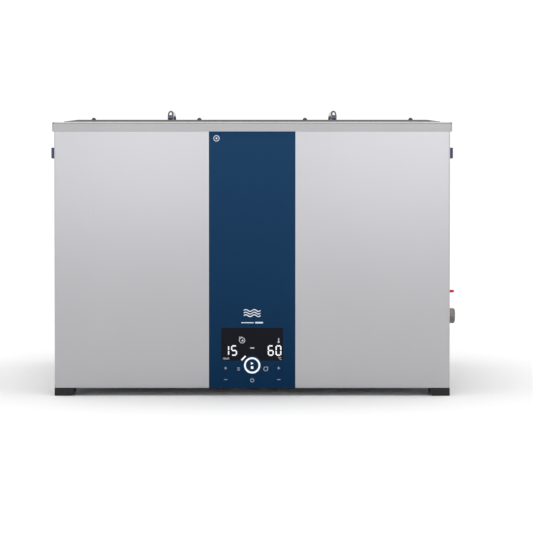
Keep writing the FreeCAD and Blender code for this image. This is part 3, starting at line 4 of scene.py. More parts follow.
import bmesh
import bpy
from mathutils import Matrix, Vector


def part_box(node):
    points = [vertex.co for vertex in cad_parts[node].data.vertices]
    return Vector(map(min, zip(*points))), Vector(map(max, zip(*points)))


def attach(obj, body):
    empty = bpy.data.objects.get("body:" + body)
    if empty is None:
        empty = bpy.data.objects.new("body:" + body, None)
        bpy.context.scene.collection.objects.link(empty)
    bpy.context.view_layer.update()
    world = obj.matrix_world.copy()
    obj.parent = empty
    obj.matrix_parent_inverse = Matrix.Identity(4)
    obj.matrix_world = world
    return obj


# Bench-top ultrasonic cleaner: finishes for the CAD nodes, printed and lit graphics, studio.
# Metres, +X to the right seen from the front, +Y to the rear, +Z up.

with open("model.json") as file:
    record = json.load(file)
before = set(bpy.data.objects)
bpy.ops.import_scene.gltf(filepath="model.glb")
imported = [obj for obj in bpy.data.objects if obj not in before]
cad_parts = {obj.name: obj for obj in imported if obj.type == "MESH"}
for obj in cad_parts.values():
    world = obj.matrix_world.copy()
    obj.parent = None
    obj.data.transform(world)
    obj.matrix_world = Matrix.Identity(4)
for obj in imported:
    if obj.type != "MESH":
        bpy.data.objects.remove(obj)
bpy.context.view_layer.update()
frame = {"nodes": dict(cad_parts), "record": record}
# The grey materials that came with the frame go; every node gets its own finish further down.
for plain in list(bpy.data.materials):
    bpy.data.materials.remove(plain)

MM = 0.001
PRINT_THICK = 0.08 * MM
SCENE = bpy.context.scene

# Sockets of ShaderNodeMix when it mixes colours.
MIX_FIRST = 6
MIX_SECOND = 7
MIX_RESULT = 2

# Noise rarely leaves this band round its middle, 0.5.
NOISE_LOW = 0.32
NOISE_HIGH = 0.68
CLOUD_DETAIL = 2.0
GRAIN_SHARE = 0.6
CLOUD_SHARE = 0.4


def middle_of(node):
    low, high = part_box(node)
    return (low + high) / 2


# ---------------------------------------------------------------- finishes

class Finish:
    """One material under construction, with short calls for its nodes."""

    def __init__(self, name):
        self.material = bpy.data.materials.new(name)
        self.material.use_nodes = True
        self.tree = self.material.node_tree
        self.shader = self.tree.nodes["Principled BSDF"]
        self.place = self.add("ShaderNodeTexCoord").outputs["Object"]

    def add(self, kind, **settings):
        made = self.tree.nodes.new(kind)
        for key, value in settings.items():
            setattr(made, key, value)
        return made

    def join(self, source, target):
        self.tree.links.new(source, target)

    def scaled(self, scale):
        mapping = self.add("ShaderNodeMapping")
        mapping.inputs["Scale"].default_value = scale
        self.join(self.place, mapping.inputs["Vector"])
        return mapping.outputs["Vector"]

    def noise(self, scale, detail=3.0):
        """Noise with so many features per metre along X, Y and Z."""
        texture = self.add("ShaderNodeTexNoise")
        texture.inputs["Scale"].default_value = 1.0
        texture.inputs["Detail"].default_value = detail
        self.join(self.scaled(scale), texture.inputs["Vector"])
        return texture.outputs["Fac"]

    def cells(self, scale):
        """Distance to the nearest of scattered points, so many per metre along X, Y and Z."""
        texture = self.add("ShaderNodeTexVoronoi")
        texture.inputs["Scale"].default_value = 1.0
        self.join(self.scaled(scale), texture.inputs["Vector"])
        return texture.outputs["Distance"]

    def waves(self, scale, direction):
        """Even bands across a direction."""
        texture = self.add("ShaderNodeTexWave", wave_type="BANDS", bands_direction=direction)
        texture.inputs["Scale"].default_value = scale
        self.join(self.place, texture.inputs["Vector"])
        return texture.outputs["Fac"]

    def along(self, axis):
        """The distance along one axis of the frame, in metres."""
        split = self.add("ShaderNodeSeparateXYZ")
        self.join(self.place, split.inputs["Vector"])
        return split.outputs[axis]

    def ramp(self, factor, low, high, start=0.0, end=1.0):
        """Maps factor from low..high to start..end."""
        remap = self.add("ShaderNodeMapRange")
        remap.inputs["From Min"].default_value = low
        remap.inputs["From Max"].default_value = high
        remap.inputs["To Min"].default_value = start
        remap.inputs["To Max"].default_value = end
        self.join(factor, remap.inputs["Value"])
        return remap.outputs["Result"]

    def blend(self, factor, first, second):
        """A colour between first and second; either may be a socket or a fixed colour."""
        mix = self.add("ShaderNodeMix", data_type="RGBA")
        self.join(factor, mix.inputs["Factor"])
        for colour, socket in ((first, mix.inputs[MIX_FIRST]), (second, mix.inputs[MIX_SECOND])):
            if isinstance(colour, tuple):
                socket.default_value = colour
            else:
                self.join(colour, socket)
        return mix.outputs[MIX_RESULT]

    def combine(self, first, second, operation="ADD"):
        """Two levels added, multiplied or compared; the second may be a fixed number."""
        maths = self.add("ShaderNodeMath", operation=operation)
        self.join(first, maths.inputs[0])
        if isinstance(second, float):
            maths.inputs[1].default_value = second
        else:
            self.join(second, maths.inputs[1])
        return maths.outputs["Value"]

    def colour(self, socket):
        self.join(socket, self.shader.inputs["Base Color"])

    def roughness(self, socket):
        self.join(socket, self.shader.inputs["Roughness"])

    def relief(self, height, depth, strength=1.0):
        bump = self.add("ShaderNodeBump")
        bump.inputs["Strength"].default_value = strength
        bump.inputs["Distance"].default_value = depth
        self.join(height, bump.inputs["Height"])
        self.join(bump.outputs["Normal"], self.shader.inputs["Normal"])

    def set(self, **values):
        """Constant values of the shader; an underscore stands for a space in a socket's name."""
        for key, value in values.items():
            self.shader.inputs[key.replace("_", " ")].default_value = value


def grain_and_clouds(finish, grain, mottle, detail=3.0):
    """Fine noise, broad noise, and the two added up."""
    fine = finish.noise(grain, detail)
    broad = finish.noise(mottle, CLOUD_DETAIL)
    fine_part = finish.combine(fine, GRAIN_SHARE, "MULTIPLY")
    broad_part = finish.combine(broad, CLOUD_SHARE, "MULTIPLY")
    return fine, broad, finish.combine(fine_part, broad_part)


def grained(name, dark, light, rough, grain, mottle, depth, strength, detail=3.0, **constants):
    """A finish with fine grain, broad mottling in colour and gloss, and a relief from the grain."""
    finish = Finish(name)
    fine, _, both = grain_and_clouds(finish, grain, mottle, detail)
    finish.colour(finish.blend(finish.ramp(both, NOISE_LOW, NOISE_HIGH), dark, light))
    finish.roughness(finish.ramp(both, NOISE_LOW, NOISE_HIGH, rough[0], rough[1]))
    finish.relief(fine, depth, strength)
    finish.set(**constants)
    return finish


def brushed_casing():
    """Stainless sheet brushed up and down."""
    return grained(
        "brushed_casing", (0.375, 0.371, 0.384, 1.0), (0.396, 0.392, 0.405, 1.0), (0.19, 0.25),
        grain=(1100.0, 1100.0, 5.0), mottle=(5.0, 5.0, 1.5), depth=0.00001, strength=0.12, Metallic=1.0,
    )


def tank_steel():
    """Drawn stainless: brushed on the rim, bright inside the tank."""
    bright_up_to = 0.412
    rim_from = 0.426
    finish = Finish("tank_steel")
    fine, broad, both = grain_and_clouds(finish, (6.0, 900.0, 900.0), (7.0, 7.0, 7.0))
    clouds = finish.ramp(broad, NOISE_LOW, NOISE_HIGH)
    rim = finish.blend(clouds, (0.304, 0.302, 0.306, 1.0), (0.338, 0.336, 0.341, 1.0))
    inside = finish.blend(clouds, (0.66, 0.65, 0.64, 1.0), (0.74, 0.73, 0.72, 1.0))
    finish.colour(finish.blend(finish.ramp(finish.along("Z"), bright_up_to, rim_from), inside, rim))
    finish.roughness(finish.ramp(both, NOISE_LOW, NOISE_HIGH, 0.26, 0.34))
    finish.relief(fine, 0.00002, 0.2)
    finish.set(Metallic=1.0)
    return finish


def lid_steel():
    """Stainless sheet brushed from left to right; its colour is darker and browner than the other steel as a
    painted dark reflection on the lid's front bevel.
    """
    return grained(
        # Dark brownish colours: a painted dark reflection for the lid's front bevel.
        "lid_steel", (0.235, 0.226, 0.216, 1.0), (0.280, 0.270, 0.258, 1.0), (0.20, 0.28),
        grain=(5.0, 1000.0, 300.0), mottle=(8.0, 8.0, 8.0), depth=0.00002, strength=0.2, Metallic=1.0,
    )


def bright_steel():
    """Polished bar and wire with faint wipe marks."""
    return grained(
        "bright_steel", (0.33, 0.33, 0.335, 1.0), (0.40, 0.40, 0.405, 1.0), (0.14, 0.24),
        grain=(420.0, 420.0, 420.0), mottle=(30.0, 30.0, 30.0), depth=0.00001, strength=0.2, Metallic=1.0,
    )


def zinc_steel():
    """Zinc plate with cool and yellowish clouds."""
    return grained(
        "zinc_steel", (0.36, 0.38, 0.42, 1.0), (0.50, 0.51, 0.50, 1.0), (0.30, 0.46),
        grain=(600.0, 600.0, 600.0), mottle=(40.0, 40.0, 40.0), depth=0.00002, strength=0.4, Metallic=1.0,
    )


def film_with_painted_shade(name, rough, mottle):
    """Printed polyester film with a fine matt texture; its blue darkens towards the bottom as painted shade,
    for light that weakens further down the front.
    """
    # Heights in metres where the painted shade is deepest and where it has faded out.
    painted_shade_deepest_at = 0.01
    painted_shade_lightest_at = 0.43
    finish = Finish(name)
    fine = finish.noise((3500.0, 3500.0, 3500.0))
    broad = finish.noise(mottle, CLOUD_DETAIL)
    # Lit and shaded copies of one blue; blended by height they paint shade that deepens towards the bottom.
    shaded_blue = finish.blend(broad, (0.0015, 0.0225, 0.0630, 1.0), (0.0022, 0.0240, 0.0670, 1.0))
    lit_blue = finish.blend(broad, (0.0105, 0.0460, 0.1120, 1.0), (0.0120, 0.0490, 0.1190, 1.0))
    finish.colour(finish.blend(finish.ramp(finish.along("Z"), painted_shade_deepest_at, painted_shade_lightest_at), shaded_blue, lit_blue))
    finish.roughness(finish.ramp(fine, 0.3, 0.7, rough[0], rough[1]))
    finish.relief(fine, 0.00001, 0.3)
    finish.set(Specular_IOR_Level=0.04)
    return finish


def blue_film():
    """The film that covers the front."""
    return film_with_painted_shade("blue_film", (0.42, 0.50), (5.0, 5.0, 3.0))


def blue_key():
    """The same film where it gives under a finger, slightly shinier."""
    return film_with_painted_shade("blue_key", (0.38, 0.46), (60.0, 60.0, 60.0))


def smoked_window():
    """Smoked acrylic over a dark display, with the faintest haze."""
    return grained(
        "smoked_window", (0.0040, 0.0040, 0.0085, 1.0), (0.0060, 0.0060, 0.0115, 1.0), (0.16, 0.24),
        grain=(2000.0, 2000.0, 2000.0), mottle=(25.0, 25.0, 25.0), depth=0.000005, strength=0.2,
        Specular_IOR_Level=0.08,
    )


def light_guide():
    """Opal ring lit from behind; brighter where its lamps sit."""
    finish = Finish("light_guide")
    lamps = finish.noise((160.0, 160.0, 160.0), 1.0)
    level = finish.ramp(lamps, 0.35, 0.65)
    finish.colour(finish.blend(level, (0.50, 0.52, 0.54, 1.0), (0.56, 0.57, 0.58, 1.0)))
    glow = finish.blend(level, (0.90, 0.93, 0.96, 1.0), (1.0, 1.0, 1.0, 1.0))
    finish.join(glow, finish.shader.inputs["Emission Color"])
    finish.set(Emission_Strength=0.46, Roughness=0.5, Specular_IOR_Level=0.2)
    return finish


def lit_segment():
    """White display segments."""
    finish = Finish("lit_segment")
    uneven = finish.noise((400.0, 400.0, 400.0), 1.0)
    level = finish.ramp(uneven, 0.3, 0.7)
    finish.colour(finish.blend(level, (0.48, 0.49, 0.52, 1.0), (0.55, 0.56, 0.57, 1.0)))
    glow = finish.blend(level, (0.88, 0.90, 0.94, 1.0), (1.0, 1.0, 1.0, 1.0))
    finish.join(glow, finish.shader.inputs["Emission Color"])
    finish.set(Emission_Strength=0.50, Roughness=0.5, Specular_IOR_Level=0.2)
    return finish


def dim_segment():
    """Display symbols at half brightness."""
    finish = Finish("dim_segment")
    uneven = finish.noise((400.0, 400.0, 400.0), 1.0)
    glow = finish.blend(finish.ramp(uneven, 0.3, 0.7), (0.30, 0.30, 0.34, 1.0), (0.42, 0.42, 0.46, 1.0))
    finish.colour(glow)
    finish.join(glow, finish.shader.inputs["Emission Color"])
    finish.set(Emission_Strength=0.30, Roughness=0.4)
    return finish


def pale_ink(name, dark, light):
    """Screen-printed ink with the faint grain of the film under it."""
    return grained(
        name, dark, light, (0.45, 0.6),
        grain=(2500.0, 2500.0, 2500.0), mottle=(300.0, 300.0, 300.0), depth=0.00001, strength=0.5,
    )


def circuit_board():
    """Green lacquer over copper tracks, with solder points."""
    finish = Finish("circuit_board")
    tracks = finish.combine(finish.waves(70.0, "X"), finish.waves(55.0, "Y"), "MAXIMUM")
    cut = finish.ramp(tracks, 0.80, 0.90)
    lacquer = finish.blend(cut, (0.010, 0.085, 0.040, 1.0), (0.030, 0.160, 0.070, 1.0))
    solder = finish.ramp(finish.cells((260.0, 260.0, 260.0)), 0.16, 0.12)
    finish.colour(finish.blend(solder, lacquer, (0.55, 0.56, 0.57, 1.0)))
    finish.roughness(finish.ramp(solder, 0.0, 1.0, 0.30, 0.22))
    finish.relief(finish.combine(cut, solder), 0.00006, 0.6)
    return finish


def black_plastic():
    """Spark-eroded mould texture."""
    return grained(
        "black_plastic", (0.012, 0.012, 0.013, 1.0), (0.026, 0.026, 0.028, 1.0), (0.42, 0.58),
        grain=(1800.0, 1800.0, 1800.0), mottle=(60.0, 60.0, 60.0), depth=0.00004, strength=0.7,
    )


def blue_plastic():
    """Moulded grip plastic, slightly worn."""
    return grained(
        "blue_plastic", (0.010, 0.020, 0.078, 1.0), (0.016, 0.030, 0.100, 1.0), (0.36, 0.50),
        grain=(1500.0, 1500.0, 1500.0), mottle=(40.0, 40.0, 40.0), depth=0.00003, strength=0.6,
    )


def black_rubber():
    """Foot rubber with a little dust in its pores."""
    return grained(
        "black_rubber", (0.0035, 0.0035, 0.0038, 1.0), (0.0110, 0.0110, 0.0112, 1.0), (0.66, 0.84),
        grain=(1300.0, 1300.0, 1300.0), mottle=(70.0, 70.0, 70.0), depth=0.00006, strength=0.7,
    )


def grey_rubber():
    """Greyer rubber of the domes on the lid."""
    return grained(
        "grey_rubber", (0.035, 0.035, 0.037, 1.0), (0.065, 0.065, 0.067, 1.0), (0.60, 0.78),
        grain=(1500.0, 1500.0, 1500.0), mottle=(120.0, 120.0, 120.0), depth=0.00005, strength=0.6,
    )


def seal_rubber():
    """Extruded rubber of the seals."""
    return grained(
        "seal_rubber", (0.018, 0.018, 0.019, 1.0), (0.034, 0.034, 0.035, 1.0), (0.58, 0.74),
        grain=(1400.0, 1400.0, 1400.0), mottle=(50.0, 50.0, 50.0), depth=0.00005, strength=0.6,
    )


def nickel_brass():
    """Nickel plate over turned brass, with a warm cast where it is thin."""
    return grained(
        "nickel_brass", (0.17, 0.155, 0.145, 1.0), (0.27, 0.255, 0.24, 1.0), (0.26, 0.40),
        grain=(900.0, 220.0, 220.0), mottle=(90.0, 90.0, 90.0), depth=0.00003, strength=0.5, Metallic=1.0,
    )


def ptfe():
    """White PTFE that lets a little light in."""
    return grained(
        "ptfe", (0.72, 0.72, 0.70, 1.0), (0.86, 0.86, 0.84, 1.0), (0.40, 0.52),
        grain=(900.0, 900.0, 900.0), mottle=(120.0, 120.0, 120.0), depth=0.00002, strength=0.4,
        Subsurface_Weight=0.15, Subsurface_Scale=0.001,
    )


def red_vinyl():
    """Dipped vinyl sleeve with the soft ripple of a dip."""
    return grained(
        "red_vinyl", (0.52, 0.008, 0.035, 1.0), (0.66, 0.014, 0.055, 1.0), (0.30, 0.40),
        grain=(260.0, 260.0, 260.0), mottle=(60.0, 60.0, 60.0), depth=0.00010, strength=0.5, detail=1.0,
        Specular_IOR_Level=0.25,
    )


def heater_silicone():
    """Orange silicone mat over glass cloth: a fine square weave."""
    finish = Finish("heater_silicone")
    weave = finish.combine(finish.waves(260.0, "Z"), finish.waves(260.0, "DIAGONAL"), "MULTIPLY")
    broad = finish.noise((20.0, 20.0, 20.0), CLOUD_DETAIL)
    level = finish.combine(finish.combine(weave, 0.5, "MULTIPLY"), finish.combine(broad, 0.5, "MULTIPLY"))
    finish.colour(finish.blend(level, (0.36, 0.07, 0.015, 1.0), (0.60, 0.15, 0.03, 1.0)))
    finish.roughness(finish.ramp(broad, 0.3, 0.7, 0.45, 0.65))
    finish.relief(weave, 0.00015, 0.5)
    return finish


def aluminium():
    """Extruded and turned aluminium."""
    return grained(
        "aluminium", (0.58, 0.59, 0.61, 1.0), (0.74, 0.75, 0.76, 1.0), (0.30, 0.44),
        grain=(500.0, 8.0, 500.0), mottle=(30.0, 30.0, 30.0), depth=0.00004, strength=0.5, Metallic=1.0,
    )


def piezo_ceramic():
    """Fired ceramic with silver paste on its faces."""
    return grained(
        "piezo_ceramic", (0.30, 0.27, 0.20, 1.0), (0.46, 0.42, 0.33, 1.0), (0.50, 0.70),
        grain=(1600.0, 1600.0, 1600.0), mottle=(150.0, 150.0, 150.0), depth=0.00003, strength=0.5,
    )


def dark_steel():
    """Black-oxide bolts."""
    return grained(
        "dark_steel", (0.05, 0.05, 0.055, 1.0), (0.12, 0.12, 0.125, 1.0), (0.30, 0.46),
        grain=(700.0, 700.0, 700.0), mottle=(90.0, 90.0, 90.0), depth=0.00003, strength=0.5, Metallic=1.0,
    )


def copper_winding():
    """Enamelled wire laid turn on turn."""
    finish = Finish("copper_winding")
    turns = finish.waves(320.0, "Z")
    broad = finish.noise((60.0, 60.0, 60.0), CLOUD_DETAIL)
    finish.colour(finish.blend(turns, (0.16, 0.045, 0.020, 1.0), (0.55, 0.20, 0.09, 1.0)))
    finish.roughness(finish.ramp(broad, 0.3, 0.7, 0.22, 0.38))
    finish.relief(turns, 0.0003, 0.7)
    finish.set(Metallic=0.7)
    return finish


def capacitor_sleeve():
    """Shrunk sleeve with a paler stripe down one side."""
    finish = Finish("capacitor_sleeve")
    stripe = finish.ramp(finish.waves(11.0, "X"), 0.93, 0.96)
    broad = finish.noise((90.0, 90.0, 90.0), CLOUD_DETAIL)
    body = finish.blend(broad, (0.010, 0.012, 0.030, 1.0), (0.022, 0.026, 0.060, 1.0))
    finish.colour(finish.blend(stripe, body, (0.30, 0.31, 0.34, 1.0)))
    finish.roughness(finish.ramp(broad, 0.3, 0.7, 0.24, 0.36))
    finish.relief(broad, 0.0001, 0.3)
    return finish


FINISHES = {
    finish.material.name: finish.material
    for finish in (
        brushed_casing(), tank_steel(), lid_steel(), bright_steel(), zinc_steel(), blue_film(), blue_key(),
        smoked_window(), light_guide(), circuit_board(), black_plastic(), blue_plastic(), black_rubber(),
        grey_rubber(), seal_rubber(), nickel_brass(), ptfe(), red_vinyl(), heater_silicone(), aluminium(),
        piezo_ceramic(), dark_steel(), copper_winding(), capacitor_sleeve(), lit_segment(), dim_segment(),
        pale_ink("key_ink", (0.20, 0.25, 0.36, 1.0), (0.30, 0.36, 0.48, 1.0)),
        pale_ink("mark_ink", (0.62, 0.66, 0.72, 1.0), (0.80, 0.83, 0.88, 1.0)),
    )
}


def finish_nodes():
    """Every CAD node takes the finish named after its material slot in the record."""
    for part in frame["record"]["subparts"]:
        mesh = frame["nodes"][part["node"]].data
        mesh.materials.clear()
        mesh.materials.append(FINISHES[part["material_slot"]])


# ---------------------------------------------------------------- flat graphics, drawn in the XZ plane

SHARPEST_BEND = 0.5
DISC_FILL = 0.999


class Drawing:
    """Thin raised shapes on a face that looks towards -Y. Points are (x, z) in metres."""

    def __init__(self, face_y):
        self.mesh = bmesh.new()
        self.back = face_y
        self.front = face_y - PRINT_THICK

    def strip(self, left, right, closed=False):
        """A raised band between two lines with the same number of points."""
        rings = []
        for (lx, lz), (rx, rz) in zip(left, right):
            corners = ((lx, self.front, lz), (rx, self.front, rz), (rx, self.back, rz), (lx, self.back, lz))
            rings.append([self.mesh.verts.new(corner) for corner in corners])
        following = rings[1:] + rings[:1] if closed else rings[1:]
        for near, far in zip(rings, following):
            for i in range(4):
                j = (i + 1) % 4
                self.mesh.faces.new((near[i], near[j], far[j], far[i]))
        if not closed:
            self.mesh.faces.new(rings[0])
            self.mesh.faces.new(list(reversed(rings[-1])))

    def stroke(self, points, width, closed=False):
        """A band of even width along a line of points."""
        left = []
        right = []
        count = len(points)
        for i, (x, z) in enumerate(points):
            before = points[i - 1] if closed or i > 0 else points[i]
            after = points[(i + 1) % count] if closed or i < count - 1 else points[i]
            heading_in = Vector((x - before[0], z - before[1]))
            heading_out = Vector((after[0] - x, after[1] - z))
            heading = heading_in.normalized() + heading_out.normalized()
            heading.normalize()
            longest = heading_out if heading_out.length > 0 else heading_in
            bend = max(SHARPEST_BEND, heading.dot(longest.normalized()))
            reach = width / 2 / bend
            left.append((x - heading.y * reach, z + heading.x * reach))
            right.append((x + heading.y * reach, z - heading.x * reach))
        self.strip(left, right, closed)

    def ring(self, x, z, radius, width, start=0.0, end=360.0, steps=48):
        """A circle or, with start and end in degrees, an arc."""
        full = end - start >= 360.0
        points = []
        for i in range(steps if full else steps + 1):
            angle = math.radians(start + (end - start) * i / steps)
            points.append((x + radius * math.cos(angle), z + radius * math.sin(angle)))
        self.stroke(points, width, closed=full)

    def disc(self, x, z, radius, steps=24):
        """A filled circle, drawn as a fat ring that almost closes on its centre."""
        self.ring(x, z, radius / 2, radius * DISC_FILL, steps=steps)

    def bar(self, x0, x1, z0, z1):
        """An upright rectangle."""
        self.strip([(x0, z0), (x0, z1)], [(x1, z0), (x1, z1)])

    def piece(self, name, finish, body):
        """Turns the drawing into an object that rides on a body."""
        bmesh.ops.recalc_face_normals(self.mesh, faces=self.mesh.faces)
        data = bpy.data.meshes.new(name)
        self.mesh.to_mesh(data)
        self.mesh.free()
        data.materials.append(FINISHES[finish])
        made = bpy.data.objects.new(name, data)
        SCENE.collection.objects.link(made)
        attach(made, body)
        return made


DIGIT_SEGMENTS = {
    "0": "abcdef",
    "1": "bc",
    "5": "acdfg",
    "6": "acdefg",
}
DIGIT_WIDTH = 7.6 * MM
DIGIT_HEIGHT = 15.0 * MM
DIGIT_SPACE = 5.0 * MM
SEGMENT_WIDTH = 2.1 * MM
SEGMENT_GAP = 0.55 * MM
SEGMENT_TIP = 0.12
SEGMENT_SHOULDER = 0.9


def seven_segment(drawing, digit, x, z):
    """One digit whose strokes' middle lines start at x and z, its lower left corner."""
    wide = DIGIT_WIDTH
    half = DIGIT_HEIGHT / 2
    ends = {
        "a": ((0, 2 * half), (wide, 2 * half)),
        "b": ((wide, 2 * half), (wide, half)),
        "c": ((wide, half), (wide, 0)),
        "d": ((0, 0), (wide, 0)),
        "e": ((0, half), (0, 0)),
        "f": ((0, 2 * half), (0, half)),
        "g": ((0, half), (wide, half)),
    }
    for name in DIGIT_SEGMENTS[digit]:
        start = Vector(ends[name][0])
        end = Vector(ends[name][1])
        along = (end - start).normalized()
        across = Vector((-along.y, along.x)) * SEGMENT_WIDTH / 2
        shoulder = along * SEGMENT_WIDTH / 2 * SEGMENT_SHOULDER
        stations = [
            (start + along * SEGMENT_GAP, SEGMENT_TIP),
            (start + shoulder, 1.0),
            (end - shoulder, 1.0),
            (end - along * SEGMENT_GAP, SEGMENT_TIP),
        ]
        left = [(x + (p + across * w).x, z + (p + across * w).y) for p, w in stations]
        right = [(x + (p - across * w).x, z + (p - across * w).y) for p, w in stations]
        drawing.strip(left, right)


def display_face():
    """The y of the front film and window."""
    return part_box("display_window")[0].y


def display_digits():
    """Time on the left, temperature on the right."""
    low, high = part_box("display_window")
    base = low.z + 9.0 * MM
    left_margin = 4.4 * MM
    right_margin = 3.7 * MM
    pitch = DIGIT_WIDTH + DIGIT_SPACE
    drawing = Drawing(display_face())
    time_x = low.x + left_margin
    heat_x = high.x - right_margin - DIGIT_WIDTH - pitch
    seven_segment(drawing, "1", time_x, base)
    seven_segment(drawing, "5", time_x + pitch, base)
    seven_segment(drawing, "6", heat_x, base)
    seven_segment(drawing, "0", heat_x + pitch, base)
    return drawing.piece("display_digits", "lit_segment", "machine")


def display_units():
    """Small min and degree C signs under the digits."""
    low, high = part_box("display_window")
    stroke = 0.75 * MM
    base = low.z + 1.7 * MM
    top = base + 2.9 * MM
    drawing = Drawing(display_face())
    min_x = low.x + 3.2 * MM
    step = 1.1 * MM
    # Upright strokes and arches of the word, counted in steps from its left end.
    for place in (0, 5.3, 6.4):
        drawing.stroke([(min_x + place * step, base), (min_x + place * step, top)], stroke)
    for place in (2, 4, 8.4):
        drawing.stroke([(min_x + place * step, base), (min_x + place * step, top - step)], stroke)
    for place in (1, 3, 7.4):
        drawing.ring(min_x + place * step, top - step, step, stroke, 0, 180, 12)
    degree_x = high.x - 6.8 * MM
    drawing.ring(degree_x, top + 0.4 * MM, 0.8 * MM, 0.5 * MM, steps=16)
    drawing.ring(degree_x + 3.0 * MM, base + 1.7 * MM, 1.8 * MM, stroke, 50, 310, 20)
    return drawing.piece("display_units", "dim_segment", "machine")


def display_symbols():
    """Clock, thermometer and a dash, at half brightness."""
    low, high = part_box("display_window")
    drawing = Drawing(display_face())
    clock_x = low.x + 34.0 * MM
    clock_z = low.z + 33.0 * MM
    drawing.ring(clock_x, clock_z, 4.3 * MM, 1.1 * MM, -150, 150, 36)
    shoulder = [
        (clock_x - 4.1 * MM, clock_z + 2.4 * MM),
        (clock_x - 4.6 * MM, clock_z + 5.2 * MM),
        (clock_x + 0.6 * MM, clock_z + 5.2 * MM),
    ]
    drawing.stroke(shoulder, 1.0 * MM)
    flank = [(clock_x - 4.1 * MM, clock_z - 2.4 * MM), (clock_x - 4.6 * MM, clock_z + 2.4 * MM)]
    drawing.stroke(flank, 1.2 * MM)
    drawing.disc(clock_x + 0.7 * MM, clock_z - 0.4 * MM, 1.7 * MM)
    bulb_x = high.x - 7.2 * MM
    bulb_z = low.z + 30.4 * MM
    drawing.disc(bulb_x, bulb_z, 1.7 * MM)
    drawing.stroke([(bulb_x, bulb_z + 1.2 * MM), (bulb_x, bulb_z + 6.2 * MM)], 1.9 * MM)
    dash_x = (low.x + high.x) / 2
    dash_z = low.z + 20.6 * MM
    drawing.bar(dash_x - 3.4 * MM, dash_x + 3.4 * MM, dash_z - 1.0 * MM, dash_z + 1.0 * MM)
    return drawing.piece("display_symbols", "dim_segment", "machine")


def level_tick():
    """The lit tick at the upper left of the ring."""
    centre = middle_of("ring_light")
    drawing = Drawing(display_face())
    start = (centre.x - 17.3 * MM, centre.z + 8.4 * MM)
    end = (centre.x - 10.6 * MM, centre.z + 15.3 * MM)
    tick_width = 2.5 * MM
    drawing.stroke([start, end], tick_width)
    return drawing.piece("level_tick", "lit_segment", "machine")


def front_mark():
    """Plain mark of three ripples, with two dashes under it."""
    low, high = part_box("front_overlay")
    window_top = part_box("display_window")[1].z
    middle = (low.x + high.x) / 2
    drawing = Drawing(low.y)
    half_length = 13.5 * MM
    ripple_z = window_top + 24.0 * MM
    row_pitch = 4.2 * MM
    ripple_lift = 1.5 * MM
    ripple_width = 1.5 * MM
    steps = 40
    for row in (-1, 0, 1):
        points = []
        for i in range(steps + 1):
            share = i / steps
            x = middle + half_length * (2 * share - 1)
            lift = ripple_lift * math.sin(share * 4 * math.pi)
            points.append((x, ripple_z + row * row_pitch + lift))
        drawing.stroke(points, ripple_width)
    dash_z = window_top + 8.4 * MM
    thin = 0.7 * MM
    bold = 1.2 * MM
    drawing.bar(middle - 17.5 * MM, middle + 2.5 * MM, dash_z - thin, dash_z + thin)
    drawing.bar(middle + 5.0 * MM, middle + 17.5 * MM, dash_z - bold, dash_z + bold)
    return drawing.piece("front_mark", "mark_ink", "machine")


def corner_sign():
    """Small plain ring near the film's upper left corner."""
    low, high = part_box("front_overlay")
    drawing = Drawing(low.y)
    centre = (low.x + 12.3 * MM, high.z - 11.0 * MM)
    drawing.ring(*centre, 4.4 * MM, 1.1 * MM)
    drawing.disc(*centre, 1.5 * MM)
    return drawing.piece("corner_sign", "mark_ink", "machine")


def key_sign(key, draw, finish="key_ink"):
    """A sign printed on one key; it rides with that key."""
    node = "button_" + key
    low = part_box(node)[0]
    centre = middle_of(node)
    drawing = Drawing(low.y)
    draw(drawing, centre.x, centre.z)
    return drawing.piece("sign_" + key, finish, "key_" + key)


def plus_sign(drawing, x, z):
    arm = 2.3 * MM
    thick = 0.6 * MM
    drawing.bar(x - arm, x + arm, z - thick, z + thick)
    drawing.bar(x - thick, x + thick, z - arm, z - thick)
    drawing.bar(x - thick, x + thick, z + thick, z + arm)


def minus_sign(drawing, x, z):
    arm = 2.6 * MM
    thick = 0.6 * MM
    drawing.bar(x - arm, x + arm, z - thick, z + thick)


def menu_sign(drawing, x, z):
    """Three lines."""
    arm = 2.3 * MM
    thick = 0.45 * MM
    pitch = 1.9 * MM
    for row in (-1, 0, 1):
        middle = z + row * pitch
        drawing.bar(x - arm, x + arm, middle - thick, middle + thick)


def mode_sign(drawing, x, z):
    """A ring with a square corner at its upper right."""
    reach = 3.2 * MM
    width = 1.2 * MM
    steps = 24
    points = []
    for i in range(steps + 1):
        angle = math.radians(90 + 270 * i / steps)
        points.append((x + reach * math.cos(angle), z + reach * math.sin(angle)))
    points.append((x + reach, z + reach))
    drawing.stroke(points, width, closed=True)


def power_sign(drawing, x, z):
    """A ring open at its top, with an upright bar in the gap."""
    drawing.ring(x, z, 2.7 * MM, 1.2 * MM, 115, 425, 36)
    drawing.bar(x - 0.5 * MM, x + 0.5 * MM, z + 1.2 * MM, z + 4.2 * MM)


def start_stop_sign(drawing, x, z):
    """Play triangle over a stop square."""
    half = 2.0 * MM
    top = z + 5.6 * MM
    bottom = z + 1.0 * MM
    tip_x = x + 1.9 * MM
    tip_z = (top + bottom) / 2
    tip_half = 0.2 * MM
    lower_side = [(x - half, bottom), (tip_x, tip_z - tip_half)]
    upper_side = [(x - half, top), (tip_x, tip_z + tip_half)]
    drawing.strip(lower_side, upper_side)
    drawing.bar(x - half, x + half, z - 5.6 * MM, z - 1.4 * MM)


def key_signs():
    """The signs of all eight keys."""
    signs = {
        "time_plus": plus_sign,
        "time_minus": minus_sign,
        "temp_plus": plus_sign,
        "temp_minus": minus_sign,
        "menu": menu_sign,
        "mode": mode_sign,
        "power": power_sign,
    }
    for key, draw in signs.items():
        key_sign(key, draw)
    key_sign("start_stop", start_stop_sign, "lit_segment")


# ---------------------------------------------------------------- studio

